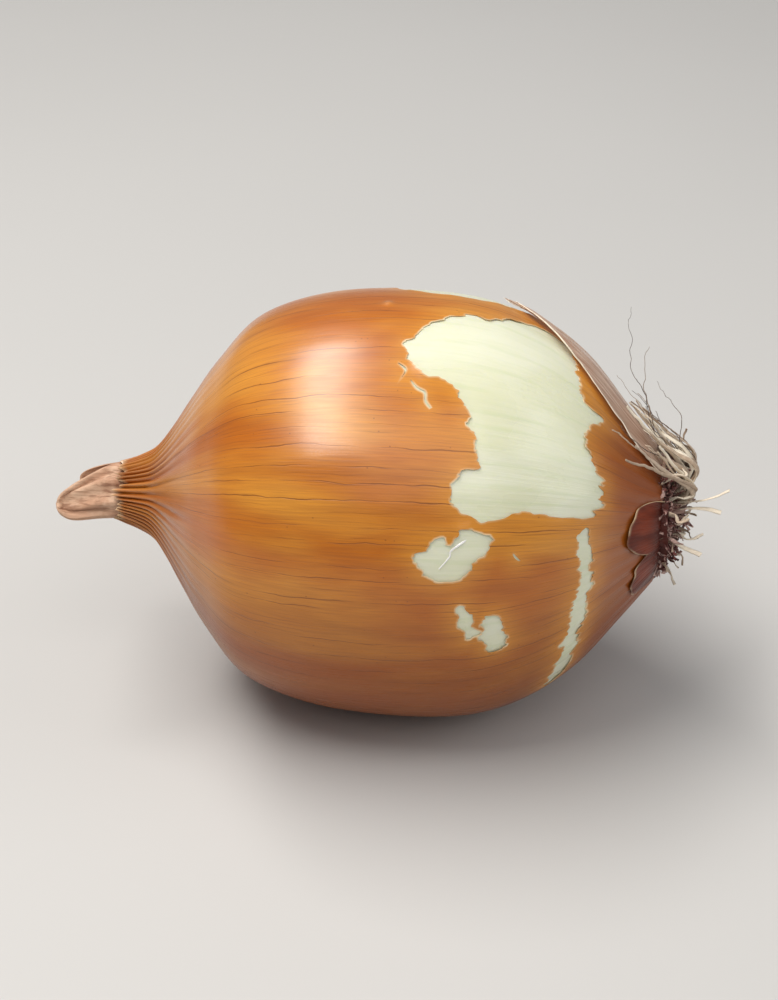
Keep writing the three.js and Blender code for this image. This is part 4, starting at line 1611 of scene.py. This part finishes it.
floor_finish, tree, shader = new_finish("pale_floor", roughness=0.6)
cloudy = tree.noise(tree.add("ShaderNodeTexCoord").outputs["Object"], 6.0, 3.0)
tree.feed(shader, base_color=tree.painted(FLOOR_COLOUR, (cloudy, FLOOR_PALE)))
corners = FLOOR_HALF * np.array([(-1, -1, 0), (1, -1, 0), (1, 1, 0), (-1, 1, 0)], float)
floor = piece_from("floor", corners, [(0, 1, 2, 3)])
floor.data.materials.append(floor_finish)
print("floor", 2 * FLOOR_HALF, "m wide")

# %% Lights and room
ROOM_COLOUR = (0.92, 0.94, 0.97, 1)
ROOM_STRENGTH = 0.2

target = (cad_low + cad_high) / 2


def aimed(name, data, place):
    """Puts a light or a camera in its place and points it at the onion's middle."""
    thing = bpy.data.objects.new(name, data)
    thing.location = place
    thing.rotation_mode = "QUATERNION"
    thing.rotation_quaternion = (target - Vector(place)).to_track_quat("-Z", "Y")
    bpy.context.scene.collection.objects.link(thing)
    return thing


def soft_light(name, place, width, length, power, colour):
    light = bpy.data.lights.new(name, "AREA")
    light.shape = "RECTANGLE"
    light.size = width
    light.size_y = length
    light.energy = power
    light.color = colour
    aimed(name, light, place)


# Places and sizes in metres, power in watts
soft_light("overhead", (-0.23, 0.0, 0.62), 0.8, 0.17, 4.9, (1.0, 0.96, 0.92))
soft_light("front", (0.15, -0.55, 0.75), 0.7, 0.7, 2.1, (1.0, 0.98, 0.96))
soft_light("right", (0.7, -0.05, 0.35), 0.5, 0.5, 1.2, (0.95, 0.98, 1.0))

world = bpy.data.worlds.new("pale_room")
world.use_nodes = True
room = world.node_tree.nodes["Background"].inputs
room["Color"].default_value = ROOM_COLOUR
room["Strength"].default_value = ROOM_STRENGTH
bpy.context.scene.world = world
bpy.context.scene.view_settings.view_transform = "Standard"
print("lights:", [light.name for light in bpy.data.lights])

# %% Camera
AZIMUTH = math.radians(5)
ELEVATION = math.radians(30)
LENS = 85
SENSOR = 36
FRAME_WIDTH, FRAME_HEIGHT = 778, 1000
FILL = 0.86

camera = bpy.data.cameras.new("camera")
camera.lens = LENS
camera.sensor_width = SENSOR
half_view = math.atan(SENSOR / 2 / LENS * FRAME_WIDTH / FRAME_HEIGHT)
distance = (cad_high.x - cad_low.x) / 2 / FILL / math.tan(half_view)
back = Vector((
    math.sin(AZIMUTH) * math.cos(ELEVATION),
    -math.cos(AZIMUTH) * math.cos(ELEVATION),
    math.sin(ELEVATION),
))
viewpoint = aimed("camera", camera, target + back * distance)
bpy.context.scene.camera = viewpoint
print("camera at", [round(x, 3) for x in viewpoint.location], "distance", round(distance, 3))
